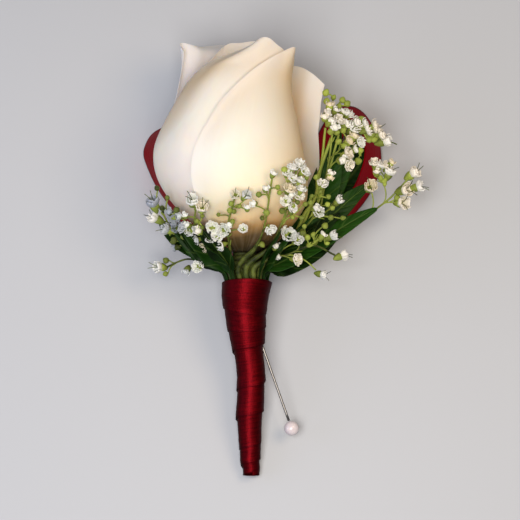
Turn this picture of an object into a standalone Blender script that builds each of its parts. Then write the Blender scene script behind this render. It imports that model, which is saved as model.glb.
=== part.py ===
"""A rose boutonniere: a half-open rose bud with baby's breath, three leaves and two ribbon loops,
bound to one stem with satin ribbon and carrying its pin. It lies on its back on a flat surface.

Every place is first given in the bunch's own frame, in millimetres: x runs to the right, y runs up the
stem from its cut end, and z points out of the bunch's face. One empty then lays the bunch down.
"""

import math

import bmesh
import bpy
import numpy as np
from mathutils import Matrix, Vector

# Driving dimensions, in millimetres unless the name says otherwise.
MM = 0.001
LIE_DEGREES = 16.0  # angle between the stem and the surface that the bunch lies on
ORIGIN_SHIFT = (-10.3, -63.55, 0.0)  # brings the middle of the laid bunch's footprint to the origin
REST_HEIGHT = 2.12  # height of the stem's cut end above the surface

ROSE_BASE = 64.7  # where the petals leave the hip
PETAL_THICKNESS = 0.5
PETAL_STEP = 1.3  # distance between one petal and the next one inwards
BUD_PROFILE = (  # radius, height above the rose base, sideways place of the bud's axis
    (3.6, 0.0, -1.2), (10.0, 3.5, -1.4), (15.6, 8.5, -2.0), (20.1, 14.5, -3.2), (22.3, 22.0, -5.2),
    (22.0, 30.0, -6.2), (19.7, 38.0, -5.4), (17.2, 44.5, -4.2), (14.9, 50.5, -2.2), (12.0, 56.0, 0.9),
    (9.2, 60.0, 3.9), (7.6, 63.5, 6.2),
)
WRAP_PROFILE = (  # height up the stem, sideways place, outer radius of the bound ribbon
    (0.0, 1.2, 2.2), (2.0, 1.2, 2.45), (4.0, 0.9, 2.7), (8.3, 0.9, 3.0), (13.6, 0.7, 3.4),
    (17.7, 0.7, 3.8), (22.0, 1.0, 3.9), (28.2, 1.2, 4.0), (33.0, 0.8, 4.2), (36.3, 0.3, 4.4),
    (39.6, 0.1, 5.0), (43.0, -0.2, 5.5), (47.0, -0.5, 5.9), (52.0, -0.5, 6.9), (56.3, 0.1, 7.6),
)
WRAP_WALL = 0.4
TAPE_WALL = 0.25
TAPE_GAP = 0.42  # between the bound ribbon and the tape under it
PIN_GAP = 0.3  # between the pin's head and its needle
RIBBON_THICKNESS = 0.5
NECK_PATH = (  # distance from the middle, and height, of a stem bound in the ring round the rose's stem
    (3.15, 38.5), (3.9, 47.0), (4.8, 54.0), (5.15, 57.3), (5.75, 59.3),
)
PIN_HEAD_DIAMETER = 4.0
PIN_HEAD_PLACE = (12.9, 13.6, 0.5)
PIN_NEEDLE_DIAMETER = 0.7
PIN_NEEDLE_TIP = (2.95, 41.6, 0.0)

# Petals from the outside in. Angles are in degrees about the bud's axis, 0 at the bunch's face and 90 at
# its right: a petal is centred at "at" at its foot, spans "span" to each side and leans by "twist" on its
# way up. layer counts the steps of PETAL_STEP outside the bud's profile, and top is the share of the
# profile that the petal covers. round cuts its corners round and narrow draws in its foot. From the share
# flare_from on, it opens by flare mm. Its tip lies at apex, tip mm higher and tip_out mm further out, and
# its edge curls out by roll mm. flat is 1 for one that is flat on its right.
PETALS = (
    dict(at=150, span=42, twist=-10, layer=3, top=0.825, round=0.45, narrow=0.62, flare=6.0,
         flare_from=0.55, flare_power=1.0, flat=1.0),
    dict(at=-205, span=57, twist=52, layer=2, top=0.957, round=0.35, narrow=0.5, flare=18.0,
         flare_from=0.6, flare_power=3.0, apex=0.85, tip=2.2, tip_out=3.2),
    dict(at=-205, span=66, twist=36, layer=1, top=0.975, round=0.8, narrow=0.4, flare=7.0,
         flare_from=0.6, apex=0.5, tip=1.5),
    dict(at=54, span=92, twist=8, layer=0, top=0.905, round=0.9, roll=0.35, tip=1.2, tip_out=0.9),
    dict(at=-45, span=115, twist=55, layer=-1, top=0.948, round=0.6, roll=0.3, tip=1.2, tip_out=0.3),
    dict(at=165, span=100, twist=12, layer=-2, top=0.955, round=0.7),
    dict(at=20, span=100, twist=12, layer=-3, top=0.945, round=0.7),
    dict(at=-115, span=100, twist=12, layer=-4, top=0.93, round=0.7),
    dict(at=110, span=95, twist=12, layer=-5, top=0.915, round=0.7),
    dict(at=-20, span=95, twist=12, layer=-6, top=0.9, round=0.7),
    dict(at=-150, span=95, twist=12, layer=-7, top=0.88, round=0.7),
    dict(at=75, span=90, twist=12, layer=-8, top=0.86, round=0.7),
)
OUTER_PETALS = 5

# Leaves: slot is the petiole's angle in the bound ring, midrib the middle line outside the wrap, petiole
# how many of its points come before the blade, width the blade's half width, fullest where the blade is
# widest (1 at its middle, less nearer its foot), and face where its upper side looks.
LEAVES = {
    "leaf_lower_right": dict(
        slot=69, petiole=0, width=4.0, fullest=0.7, face=(-0.35, 0.55, 0.75),
        midrib=(
            (9.0, 61.0, 0.6), (17.0, 65.4, -2.2), (25.0, 70.0, -3.8), (32.0, 74.2, -4.6),
            (38.0, 77.4, -5.0),
        ),
    ),
    "leaf_upper_right": dict(
        slot=178, petiole=3, width=7.1, fullest=0.95, face=(0.0, 0.28, 0.96),
        midrib=(
            (5.0, 62.6, -10.2), (10.6, 66.8, -13.4), (15.5, 71.2, -18.6), (20.5, 76.0, -22.4),
            (27.5, 83.2, -25.6), (34.2, 91.6, -27.9), (39.5, 98.6, -29.9),
        ),
    ),
    "leaf_left": dict(
        slot=-138, petiole=1, width=4.0, fullest=0.75, face=(0.3, 0.4, 0.85),
        midrib=(
            (-8.0, 61.4, -7.0), (-13.5, 63.6, -8.2), (-19.5, 67.6, -9.3), (-25.8, 73.4, -11.0),
        ),
    ),
}

# Ribbon loops: the two edges of each loop, point for point, from the front end round to the back end.
RIBBON_LOOPS = {
    "ribbon_loop_left": dict(
        front=(
            (-2.9, 59.4, -7.9), (-6.0, 61.6, -10.2), (-10.5, 66.0, -12.9), (-17.6, 75.2, -16.2),
            (-24.2, 84.5, -17.8), (-26.8, 91.8, -18.4), (-26.5, 96.8, -19.2), (-25.2, 98.5, -20.2),
            (-24.4, 95.2, -20.6), (-23.2, 87.8, -20.2), (-19.2, 78.5, -19.4), (-12.4, 69.5, -16.2),
            (-5.6, 64.6, -12.6), (-2.6, 61.2, -9.4),
        ),
        back=(
            (-3.4, 57.0, -8.9), (-6.6, 59.0, -12.0), (-12.5, 64.0, -17.2), (-20.0, 74.2, -22.2),
            (-27.2, 84.2, -25.6), (-31.0, 92.8, -28.3), (-30.2, 98.4, -30.1),
            (-26.2, 102.3, -31.38), (-21.6, 100.8, -30.8), (-18.6, 94.0, -28.5),
            (-15.0, 84.0, -25.7), (-9.5, 72.0, -21.4), (-4.6, 64.5, -16.6), (-2.6, 58.4, -10.6),
        ),
    ),
    "ribbon_loop_right": dict(
        front=(
            (2.9, 59.4, -7.9), (6.2, 61.2, -9.8), (12.0, 65.2, -12.0), (22.0, 74.0, -13.5),
            (30.5, 82.5, -15.5), (34.2, 90.0, -17.8), (34.9, 97.0, -19.6), (32.7, 102.0, -21.0),
            (30.0, 101.6, -21.4), (28.0, 97.5, -21.2), (25.5, 90.5, -20.6), (20.5, 80.5, -19.4),
            (13.0, 72.0, -17.0), (6.5, 66.2, -13.8), (2.4, 61.2, -9.4),
        ),
        back=(
            (3.4, 57.0, -8.9), (7.2, 59.2, -12.2), (13.0, 62.8, -16.6), (25.0, 70.0, -20.9),
            (34.9, 79.6, -23.2), (39.6, 89.2, -25.8), (40.0, 97.0, -28.4), (36.8, 104.8, -31.7),
            (31.4, 109.0, -33.26), (25.6, 107.2, -32.6), (20.6, 98.6, -30.1), (15.4, 86.0, -26.4),
            (9.5, 74.5, -22.4), (4.8, 65.5, -17.0), (2.4, 58.4, -10.6),
        ),
    ),
}

# Baby's breath. slot is the angle of a sprig's stem in the bound ring and stem the points of the stem
# outside it. A floret is (across, up, depth in front of the collar, kind); the first one ends the stem.
OPEN, BUD, GREEN = "open", "bud", "green"
SPRIGS = {
    "sprig_left_outer": dict(
        slot=-92, stem=((-12.5, 63.8, -1.5), (-20.0, 69.0, -1.6)),
        florets=(
            (-27.0, 79.5, -2.0, OPEN), (-27.5, 75.0, -1.0, OPEN), (-24.5, 77.5, -3.0, OPEN),
            (-22.5, 76.5, 0.0, OPEN), (-21.0, 73.6, 1.0, OPEN), (-24.0, 71.5, 1.0, OPEN),
            (-22.5, 67.5, 1.0, GREEN), (-26.0, 83.5, -3.0, GREEN),
        ),
    ),
    "sprig_left_mid": dict(
        slot=-69, stem=((-10.0, 64.5, 5.8), (-13.5, 70.0, 7.5)),
        florets=(
            (-15.0, 80.0, 0.0, BUD), (-16.5, 71.0, 0.0, OPEN), (-15.0, 67.8, 1.5, OPEN),
            (-13.0, 65.5, 2.0, OPEN), (-10.5, 68.5, 1.5, OPEN), (-9.5, 71.6, 1.4, OPEN),
            (-12.0, 77.5, 0.5, BUD), (-17.6, 75.5, 0.0, BUD),
        ),
    ),
    "sprig_left_low": dict(
        slot=-115, stem=((-10.5, 60.9, -4.2), (-17.5, 62.6, -4.2)),
        florets=(
            (-27.0, 60.5, 1.0, OPEN), (-24.5, 62.8, 0.0, BUD), (-15.0, 60.0, -4.0, OPEN),
            (-18.0, 58.4, -2.0, BUD),
        ),
    ),
    "sprig_front_left": dict(
        slot=-46, stem=((-5.0, 66.0, 8.9), (-5.4, 71.0, 14.0)),
        florets=(
            (-3.2, 80.8, 0.0, OPEN), (-8.0, 66.3, 2.0, OPEN), (-6.8, 70.6, 0.5, OPEN),
            (-8.0, 75.5, 0.0, GREEN), (-1.0, 71.5, 1.0, OPEN), (-4.6, 77.0, 0.0, GREEN),
            (0.2, 80.6, 0.0, OPEN), (-1.6, 77.6, 0.0, GREEN),
        ),
    ),
    "sprig_front_mid": dict(
        slot=-23,
        stem=((2.5, 66.0, 8.5), (5.0, 72.0, 14.3), (5.8, 77.0, 17.7)),
        florets=(
            (7.8, 87.2, 0.0, BUD), (7.0, 70.6, 1.5, OPEN), (5.6, 82.8, 0.0, BUD),
            (1.6, 78.2, 0.0, BUD), (9.0, 83.4, 0.0, GREEN), (5.0, 66.0, 3.0, OPEN),
        ),
    ),
    "sprig_front_right": dict(
        slot=0,
        stem=((6.5, 66.0, 7.5), (9.6, 72.0, 11.5), (11.5, 77.0, 14.0)),
        florets=(
            (15.2, 90.0, 0.0, OPEN), (11.4, 87.2, 0.0, OPEN), (15.4, 85.4, 0.0, OPEN),
            (12.2, 83.0, 0.0, OPEN), (11.0, 79.2, 1.0, OPEN), (15.0, 80.8, 0.0, OPEN),
            (17.6, 86.2, 0.0, GREEN), (12.6, 75.6, 0.5, GREEN),
        ),
    ),
    "sprig_front_low": dict(
        slot=23, stem=((9.5, 64.5, 6.0),),
        florets=(
            (12.2, 69.8, 2.0, OPEN), (15.0, 62.6, 6.5, OPEN), (8.8, 63.4, 1.0, BUD),
        ),
    ),
    "sprig_right_low": dict(
        slot=46, stem=((12.9, 64.4, 4.1), (18.5, 66.5, 4.8)),
        florets=(
            (28.5, 64.0, 3.0, BUD), (25.5, 69.6, 6.0, OPEN), (22.5, 58.0, 7.5, BUD),
            (19.6, 70.4, 3.0, GREEN), (22.4, 70.2, 5.0, BUD),
        ),
    ),
    "sprig_right_mid": dict(
        slot=133,
        stem=((9.0, 65.5, -5.5), (14.0, 69.5, -3.5), (19.0, 74.5, 2.5)),
        florets=(
            (21.8, 84.6, 2.0, OPEN), (27.0, 80.0, 3.0, OPEN), (20.2, 77.4, 3.0, BUD),
            (24.6, 75.0, 5.0, GREEN), (24.0, 80.8, 3.0, GREEN), (28.6, 74.6, 6.0, GREEN),
            (18.8, 81.0, 1.0, GREEN), (24.4, 87.8, 2.0, BUD),
        ),
    ),
    "sprig_right_high": dict(
        slot=155,
        stem=(
            (8.5, 64.8, -9.0), (13.0, 67.0, -10.5), (20.5, 75.0, -10.5), (22.8, 85.0, -8.0),
            (24.4, 95.0, -4.5),
        ),
        florets=(
            (25.8, 110.2, -3.0, GREEN), (23.3, 111.6, -3.0, GREEN), (28.2, 110.0, -3.0, GREEN),
            (30.4, 108.6, -3.0, GREEN), (30.2, 105.2, -1.0, OPEN), (24.2, 107.4, -1.0, BUD),
            (27.2, 103.8, 1.0, BUD), (25.6, 101.0, 2.0, BUD), (22.6, 103.6, 0.0, BUD),
            (33.0, 102.6, 0.0, OPEN), (38.5, 100.6, -2.0, OPEN), (41.5, 97.4, -2.0, OPEN),
            (33.6, 96.8, 1.0, OPEN), (30.2, 92.8, 2.0, OPEN), (30.0, 89.0, 4.0, OPEN),
        ),
    ),
    "sprig_right_far": dict(
        slot=111,
        stem=((12.5, 62.4, -8.0), (24.0, 67.2, -9.5), (36.0, 76.0, -9.5), (42.0, 80.6, -6.5)),
        florets=(
            (49.5, 88.0, 0.0, OPEN), (51.0, 84.0, 0.0, OPEN), (47.2, 83.0, 1.5, BUD),
            (46.0, 79.0, 0.0, OPEN), (40.4, 85.2, 0.0, GREEN), (41.6, 88.6, 0.0, OPEN),
            (38.6, 91.4, -1.0, OPEN), (36.0, 84.0, 2.0, OPEN),
        ),
    ),
}
FLORET_SIZE = {OPEN: (1.9, 2.6), BUD: (1.05, 2.6), GREEN: (0.9, 1.8)}  # radius and length
STEM_RADIUS = 0.45
STALK_RADIUS = 0.26
COLLAR_CLEAR = 3.2  # how far the florets' faces stand off the bud


# ---------------------------------------------------------------- curves and surfaces, in the bunch's frame

def smooth_curve(points, t):
    """A smooth curve through the points, at shares t of its chord length."""
    p = np.asarray(points, float)
    chord = np.concatenate([[0.0], np.cumsum(np.linalg.norm(np.diff(p, axis=0), axis=1))])
    return curve_at(p, chord / chord[-1], t)


def even_curve(points, t):
    """The same curve, but with each point the same share after the last."""
    p = np.asarray(points, float)
    return curve_at(p, np.linspace(0.0, 1.0, len(p)), t)


def curve_at(p, knots, t):
    slope = np.gradient(p, knots, axis=0)
    t = np.clip(np.asarray(t, float), 0.0, 1.0)
    i = np.clip(np.searchsorted(knots, t, side="right") - 1, 0, len(p) - 2)
    step = (knots[i + 1] - knots[i])[..., None]
    s = (t - knots[i])[..., None] / step
    return ((2 * s**3 - 3 * s**2 + 1) * p[i] + (s**3 - 2 * s**2 + s) * step * slope[i]
            + (3 * s**2 - 2 * s**3) * p[i + 1] + (s**3 - s**2) * step * slope[i + 1])


def smoothstep(x, low, high):
    t = np.clip((x - low) / (high - low), 0.0, 1.0)
    return t * t * (3.0 - 2.0 * t)


def bud_offset(t, offset):
    """Radius, height and sideways place of the bud's profile at share t, moved outwards by offset."""
    near = 1e-3
    centre = smooth_curve(BUD_PROFILE, t)
    along = (smooth_curve(BUD_PROFILE, t + near) - smooth_curve(BUD_PROFILE, t - near))[..., :2]
    along /= np.linalg.norm(along, axis=-1, keepdims=True)
    radius = np.maximum(centre[..., 0] + along[..., 1] * offset, 0.6)
    return radius, centre[..., 1] - along[..., 0] * offset, centre[..., 2]


def petal_surface(u, v, shape):
    """u runs across from -1 to 1 and v from the petal's foot at 0 to its tip at 1."""
    round_off = shape["round"]
    across = u * np.sqrt(1 - round_off * v * v / 2)
    up = v * np.sqrt(1 - round_off * u * u / 2)
    t = up * shape["top"]
    radius, height, middle = bud_offset(t, shape["layer"] * PETAL_STEP)
    width = shape["span"] * (1 - shape.get("narrow", 0.0) * (1 - up**1.3))
    angle = np.radians(shape["at"] + shape["twist"] * up + width * across)
    start = shape.get("flare_from", 0.5)
    opened = np.clip((t - start) / (1 - start), 0, 1) ** shape.get("flare_power", 2.0)
    spread = np.cos(shape.get("flat", 0.0) * np.radians(width * np.minimum(across, 0.0)))
    radius = (radius + shape.get("flare", 0.0) * opened) / spread
    edge = (np.abs(u) ** 10 * smoothstep(up, 0.1, 0.5) + v**10) ** 0.1
    radius = radius + shape.get("roll", 0.0) * smoothstep(edge, 0.8, 1.0) ** 2
    apex = np.exp(-(((u - shape.get("apex", 0.0)) / 0.17) ** 2)) * smoothstep(v, 0.72, 1.0) ** 2
    radius = radius + shape.get("tip_out", 0.0) * apex
    height = height + shape.get("tip", 0.0) * apex
    return np.stack([middle + radius * np.sin(angle), ROSE_BASE + height, radius * np.cos(angle)], -1)


def wrap_at(height):
    """Sideways place and outer radius of the wrap at a height up the stem."""
    rows = np.array(WRAP_PROFILE)
    return np.interp(height, rows[:, 0], rows[:, 1]), np.interp(height, rows[:, 0], rows[:, 2])


def stem_axis(height):
    """Sideways place of the rose stem's middle: the wrap's middle, then the rose base."""
    rows = np.array(WRAP_PROFILE)
    return np.interp(height, [*rows[:, 0], ROSE_BASE], [*rows[:, 1], BUD_PROFILE[0][2]])


def bud_guard(height, angle):
    """The least radius that clears the bud at a height up the stem, wider behind for the guard petals."""
    t = np.linspace(0.0, 1.0, 80)
    found = []
    for layer in (0.0, 3.0 * PETAL_STEP):
        radius, above, _ = bud_offset(t, layer + 1.0)
        found.append(np.interp(height - ROSE_BASE, above, radius, left=0.0))
    edge = 110.0 - 45.0 * smoothstep(height, 70.0, 95.0)
    behind = smoothstep(np.degrees(np.abs(angle)), edge, edge + 25.0)
    return found[0] * (1 - behind) + found[1] * behind


def bud_axis(height):
    rows = np.array(BUD_PROFILE)
    return np.interp(height - ROSE_BASE, rows[:, 1], rows[:, 2])


def clear_of_bud(points):
    """Moves each point that is too near the bud straight out from the bud's axis."""
    points = np.array(points, float)
    middle = np.where(points[:, 1] > ROSE_BASE, bud_axis(points[:, 1]), stem_axis(points[:, 1]))
    x, z = points[:, 0] - middle, points[:, 2]
    angle = np.arctan2(x, z)
    radius = np.hypot(x, z)
    wanted = np.maximum(radius, bud_guard(points[:, 1], angle))
    points[:, 0] = middle + wanted * np.sin(angle)
    points[:, 2] = wanted * np.cos(angle)
    return points


def collar(across, up):
    """Depth of the baby's breath collar: round the bud in front, then falling away to either side."""
    radius = max(float(bud_guard(up, 0.0)), 9.0) + COLLAR_CLEAR
    off = abs(across - bud_axis(up))
    if off < 0.75 * radius:
        return math.sqrt(radius**2 - off**2)
    return max(0.661 * radius - 1.134 * (off - 0.75 * radius), -4.0)


def neck_points(slot):
    """A bound stem's points inside the wrap, at its angle in the ring."""
    angle = math.radians(slot)
    return [(stem_axis(up) + radius * math.sin(angle), up, radius * math.cos(angle))
            for radius, up in NECK_PATH]


def grow_sprig(sprig):
    """The sprig's stem, its stalks and its florets' places and directions.

    Each floret's stalk leaves the nearest part of the sprig grown so far that points towards it.
    """
    florets = []
    for across, up, depth, kind in sprig["florets"]:
        place = np.array([across, up, collar(across, up) + depth])
        florets.append(dict(place=place, kind=kind))
    start = np.array([*neck_points(sprig["slot"]), *sprig["stem"]])
    for floret in florets:
        outwards = floret["place"] - [bud_axis(floret["place"][1]), floret["place"][1], 0.0]
        outwards /= np.linalg.norm(outwards)
        rise = floret["place"] - start[-1]
        rise /= np.linalg.norm(rise)
        facing = rise * 0.8 + outwards * 0.5 + np.array([0.0, 0.25, 0.35])
        floret["facing"] = facing / np.linalg.norm(facing)
        floret["foot"] = floret["place"] - floret["facing"] * FLORET_SIZE[floret["kind"]][1] * 0.85
    stem = clear_of_bud(smooth_curve([*start, florets[0]["foot"]], np.linspace(0.0, 1.0, 14)))
    grown = list(zip(stem[5:], np.gradient(stem, axis=0)[5:]))
    order = sorted(florets[1:], key=lambda f: min(np.linalg.norm(f["foot"] - p) for p, _ in grown))
    stalks = []
    for floret in order:
        def cost(sample):
            reach = floret["foot"] - sample[0]
            length = np.linalg.norm(reach)
            turn = np.dot(reach, sample[1]) / (length * np.linalg.norm(sample[1]) + 1e-9)
            return length * (1.0 + 2.5 * max(0.0, 0.7 - turn)) + (3.0 if length < 2.0 else 0.0)
        root, heading = min(grown, key=cost)
        length = np.linalg.norm(floret["foot"] - root)
        bend = root + heading / np.linalg.norm(heading) * length * 0.45
        t = np.linspace(0.0, 1.0, 3)[:, None]
        stalk = clear_of_bud((1 - t) ** 2 * root + 2 * t * (1 - t) * bend + t**2 * floret["foot"])
        stalk[0] = root
        stalks.append(stalk)
        grown += list(zip(stalk[1:], np.gradient(stalk, axis=0)[1:]))
    return stem, stalks, florets


# ---------------------------------------------------------------- Blender objects

def clear_scene():
    for obj in list(bpy.data.objects):
        bpy.data.objects.remove(obj)


def collection(name, hidden=False):
    made = bpy.data.collections.new(name)
    bpy.context.scene.collection.children.link(made)
    made.hide_render = hidden
    return made


def material(name, colour, roughness, metallic=0.0):
    made = bpy.data.materials.new(name)
    made.use_nodes = True
    shader = made.node_tree.nodes["Principled BSDF"]
    shader.inputs["Base Color"].default_value = (*colour, 1.0)
    shader.inputs["Roughness"].default_value = roughness
    shader.inputs["Metallic"].default_value = metallic
    made.diffuse_color = (*colour, 1.0)
    return made


def add_object(name, data, finish, group):
    """Links an object whose data is in the bunch's frame, hung on the empty that lays the bunch down."""
    obj = bpy.data.objects.new(name, data)
    data.materials.append(finish)
    group.objects.link(obj)
    obj.parent = bpy.data.objects["laid_bunch"]
    return obj


def lay_bunch(group):
    empty = bpy.data.objects.new("laid_bunch", None)
    empty.rotation_euler = (math.radians(LIE_DEGREES), 0.0, 0.0)
    empty.location = Vector(ORIGIN_SHIFT) * MM + Vector((0.0, 0.0, REST_HEIGHT * MM))
    group.objects.link(empty)


def grid_mesh(name, surface, columns, rows, closed=False):
    """A grid of columns by rows moved onto surface(u, v), with u from -1 to 1 and v from 0 to 1."""
    bm = bmesh.new()
    bmesh.ops.create_grid(bm, x_segments=columns, y_segments=rows, size=1.0)
    flat = np.array([vert.co[:] for vert in bm.verts])
    for vert, point in zip(bm.verts, surface(flat[:, 0], (flat[:, 1] + 1) / 2)):
        vert.co = point * MM
    if closed:
        bmesh.ops.remove_doubles(bm, verts=bm.verts, dist=1e-6)
    mesh = bpy.data.meshes.new(name)
    bm.to_mesh(mesh)
    bm.free()
    mesh.shade_smooth()
    return mesh


def add_sheet(name, surface, columns, rows, thickness, finish, group, closed=False, offset=0.0):
    """A thin piece: a surface with Solidify."""
    obj = add_object(name, grid_mesh(name, surface, columns, rows, closed), finish, group)
    solid = obj.modifiers.new("thickness", "SOLIDIFY")
    solid.thickness = thickness * MM
    solid.offset = offset
    solid.use_even_offset = closed
    return obj


def tube_curve(name, paths, resolution):
    """Round tubes with filled caps along paths, each a list of (point, radius)."""
    curve = bpy.data.curves.new(name, "CURVE")
    curve.dimensions = "3D"
    curve.bevel_depth = MM
    curve.bevel_resolution = resolution
    curve.use_fill_caps = True
    for path in paths:
        spline = curve.splines.new("POLY")
        spline.points.add(len(path) - 1)
        for knot, (point, radius) in zip(spline.points, path):
            knot.co = (*(np.asarray(point) * MM), 1.0)
            knot.radius = radius
    return curve


def add_tube(name, path, resolution, finish, group):
    return add_object(name, tube_curve(name, [path], resolution), finish, group)


def tube_mesh(name, paths, resolution):
    """The same tubes as one mesh whose caps are welded on."""
    guide = bpy.data.objects.new(name, tube_curve(name, paths, resolution))
    bpy.context.scene.collection.objects.link(guide)
    evaluated = guide.evaluated_get(bpy.context.evaluated_depsgraph_get())
    mesh = bpy.data.meshes.new_from_object(evaluated)
    bpy.data.objects.remove(guide)
    bm = bmesh.new()
    bm.from_mesh(mesh)
    bmesh.ops.remove_doubles(bm, verts=bm.verts, dist=1e-7)
    bm.to_mesh(mesh)
    bm.free()
    return mesh


# ---------------------------------------------------------------- pieces

def build_rose(finishes, group):
    for number, shape in enumerate(PETALS, start=1):
        fine = number <= OUTER_PETALS
        add_sheet(f"rose_petal_{number:02d}", lambda u, v, shape=shape: petal_surface(u, v, shape),
                  14 if fine else 10, 9, PETAL_THICKNESS, finishes["petal"], group)
    build_heart(finishes["petal"], group)
    build_rose_stem(finishes["stem"], group)
    build_sepals(finishes["sepal"], group)


def build_heart(finish, group):
    """The furled innermost petals, as one teardrop inside the smallest petal."""
    t = np.linspace(0.1, 0.86, 13)
    radius, height, middle = bud_offset(t, (PETALS[-1]["layer"] - 1.5) * PETAL_STEP)
    keep = radius > 0.61
    path = [((x, ROSE_BASE + h, 0.0), r) for r, h, x in zip(radius[keep], height[keep], middle[keep])]
    top = path[-1][0]
    path.append(((top[0] + 0.6, top[1] + 1.2, 0.0), path[-1][1] * 0.4))
    add_tube("rose_heart", path, 3, finish, group)


def build_rose_stem(finish, group):
    """One stem: bound shaft, swollen hip, and the cone that carries the petals' feet."""
    shaft = [(2.0, 1.2), (10.0, 1.6), (20.0, 2.0), (30.0, 2.2), (40.0, 2.2), (48.0, 2.4), (54.0, 2.6)]
    hip = [(57.0, 3.1), (60.0, 3.7), (62.5, 3.9), (64.2, 3.3)]
    cone = [(67.0, 1.75), (69.6, 0.45)]
    path = [((float(stem_axis(up)), up, 0.0), radius) for up, radius in shaft + hip + cone]
    add_tube("rose_stem", path, 3, finish, group)


def build_sepals(finish, group):
    """Five short sepals folded back over the hip."""
    path = ((4.25, 62.0), (4.45, 60.4), (4.0, 58.2), (3.55, 55.8), (3.3, 53.6))
    half_width = 2.1
    for number in range(5):
        middle = math.radians(36 + 72 * number)

        def surface(u, v, middle=middle):
            radius, up = smooth_curve(path, v).T
            width = half_width * (1 - v) ** 0.6 * (0.75 + 0.6 * v) + 0.25
            angle = middle + u * width / radius
            return np.stack([stem_axis(up) + radius * np.sin(angle), up, radius * np.cos(angle)], -1)

        add_sheet(f"sepal_{number + 1}", surface, 5, 6, 0.4, finish, group)


def build_leaves(finish, group):
    for name, leaf in LEAVES.items():
        petiole = neck_points(leaf["slot"])
        path = np.array([*petiole, *leaf["midrib"]])
        lengths = np.concatenate([[0.0], np.cumsum(np.linalg.norm(np.diff(path, axis=0), axis=1))])
        blade_from = lengths[len(petiole) + leaf["petiole"] - 1] / lengths[-1]

        def surface(u, v, leaf=leaf, path=path, blade_from=blade_from):
            """The blade is a strip along its midrib, folded a little at the midrib."""
            middle = smooth_curve(path, v)
            along = smooth_curve(path, v + 1e-3) - smooth_curve(path, v - 1e-3)
            side = np.cross(along, leaf["face"])
            side /= np.linalg.norm(side, axis=1, keepdims=True)
            out = np.cross(side, along)
            out /= np.linalg.norm(out, axis=1, keepdims=True)
            b = np.clip((v - blade_from) / (1 - blade_from), 0, 1)
            width = 0.5 + leaf["width"] * (np.sin(math.pi * b ** leaf["fullest"]) ** 0.85)
            width = np.where(v > 0.995, 0.35, width)
            fold = 0.16 * width * np.abs(u)
            return middle + side * (u * width)[:, None] + out * fold[:, None]

        add_sheet(name, surface, 4, 22, 0.5, finish, group)


def build_sprigs(finish, group, cutters):
    for name, sprig in SPRIGS.items():
        stem, stalks, florets = grow_sprig(sprig)
        path = [(point, STEM_RADIUS * (1 - 0.3 * i / len(stem))) for i, point in enumerate(stem)]
        trunk = add_object(name, tube_mesh(name, [path], 1), finish, group)
        paths = [[(point, STALK_RADIUS) for point in stalk] for stalk in stalks]
        mesh = tube_mesh(name + "_stalks", paths, 0)
        bm = bmesh.new()
        bm.from_mesh(mesh)
        for floret in florets:
            radius, length = FLORET_SIZE[floret["kind"]]
            turn = Vector(floret["facing"]).to_track_quat("Z", "Y").to_matrix().to_4x4()
            middle = Vector((floret["place"] - floret["facing"] * length / 2) * MM)
            wide = radius if floret["kind"] == OPEN else radius * 0.8
            bmesh.ops.create_cone(
                bm, cap_ends=True, segments=5, radius1=(0.55 if floret["kind"] == OPEN else radius) * MM,
                radius2=wide * MM, depth=length * MM, matrix=Matrix.Translation(middle) @ turn)
        bm.to_mesh(mesh)
        bm.free()
        extra = add_object(name + "_stalks", mesh, finish, cutters)
        extra.hide_render = True
        extra.display_type = "WIRE"
        union = trunk.modifiers.new("stalks and florets", "BOOLEAN")
        union.operation = "UNION"
        union.use_self = True
        union.object = extra


def build_wrap(finishes, group):
    """The bound ribbon, and the florist's tape under it, as open tubes round the stems.

    The ribbon's top edge stands arch mm higher in front than behind its middle.
    """
    def tube(inset, low, high, arch):
        def surface(u, v):
            up = low + (high - low) * v
            middle, radius = wrap_at(up)
            angle = -u * math.pi
            radius = radius - inset
            lift = arch * np.cos(angle) * v**8
            return np.stack([middle + radius * np.sin(angle), up + lift, radius * np.cos(angle)], -1)
        return surface

    top = WRAP_PROFILE[-1][0]
    add_sheet("ribbon_wrap", tube(WRAP_WALL / 2, 0.0, top, 0.5), 16, 14, WRAP_WALL, finishes["satin"],
              group, closed=True)
    tape_inset = WRAP_WALL + TAPE_GAP + TAPE_WALL / 2
    add_sheet("floral_tape", tube(tape_inset, 2.0, top + 2.0, 0.0), 12, 9, TAPE_WALL, finishes["tape"],
              group, closed=True)


def build_loops(finish, group):
    """Each loop is a strip ruled between its front and back edges."""
    for name, loop in RIBBON_LOOPS.items():
        def surface(u, v, loop=loop):
            across = ((u + 1) / 2)[:, None]
            return even_curve(loop["front"], v) * (1 - across) + even_curve(loop["back"], v) * across

        add_sheet(name, surface, 3, 29, RIBBON_THICKNESS, finish, group)


def build_pin(finishes, group):
    tip, head = np.array(PIN_NEEDLE_TIP), np.array(PIN_HEAD_PLACE)
    way = (head - tip) / np.linalg.norm(head - tip)
    end = head - way * (PIN_HEAD_DIAMETER / 2 + PIN_GAP)
    radius = PIN_NEEDLE_DIAMETER / 2
    path = [(tip, radius * 0.3), (tip + way * 2.0, radius), (end, radius)]
    add_tube("pin_needle", path, 2, finishes["steel"], group)
    bm = bmesh.new()
    bmesh.ops.create_uvsphere(bm, u_segments=16, v_segments=9, radius=PIN_HEAD_DIAMETER / 2 * MM,
                              matrix=Matrix.Translation(Vector(head * MM)))
    mesh = bpy.data.meshes.new("pin_head")
    bm.to_mesh(mesh)
    bm.free()
    mesh.shade_smooth()
    add_object("pin_head", mesh, finishes["pearl"], group)
    return tip, way


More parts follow.
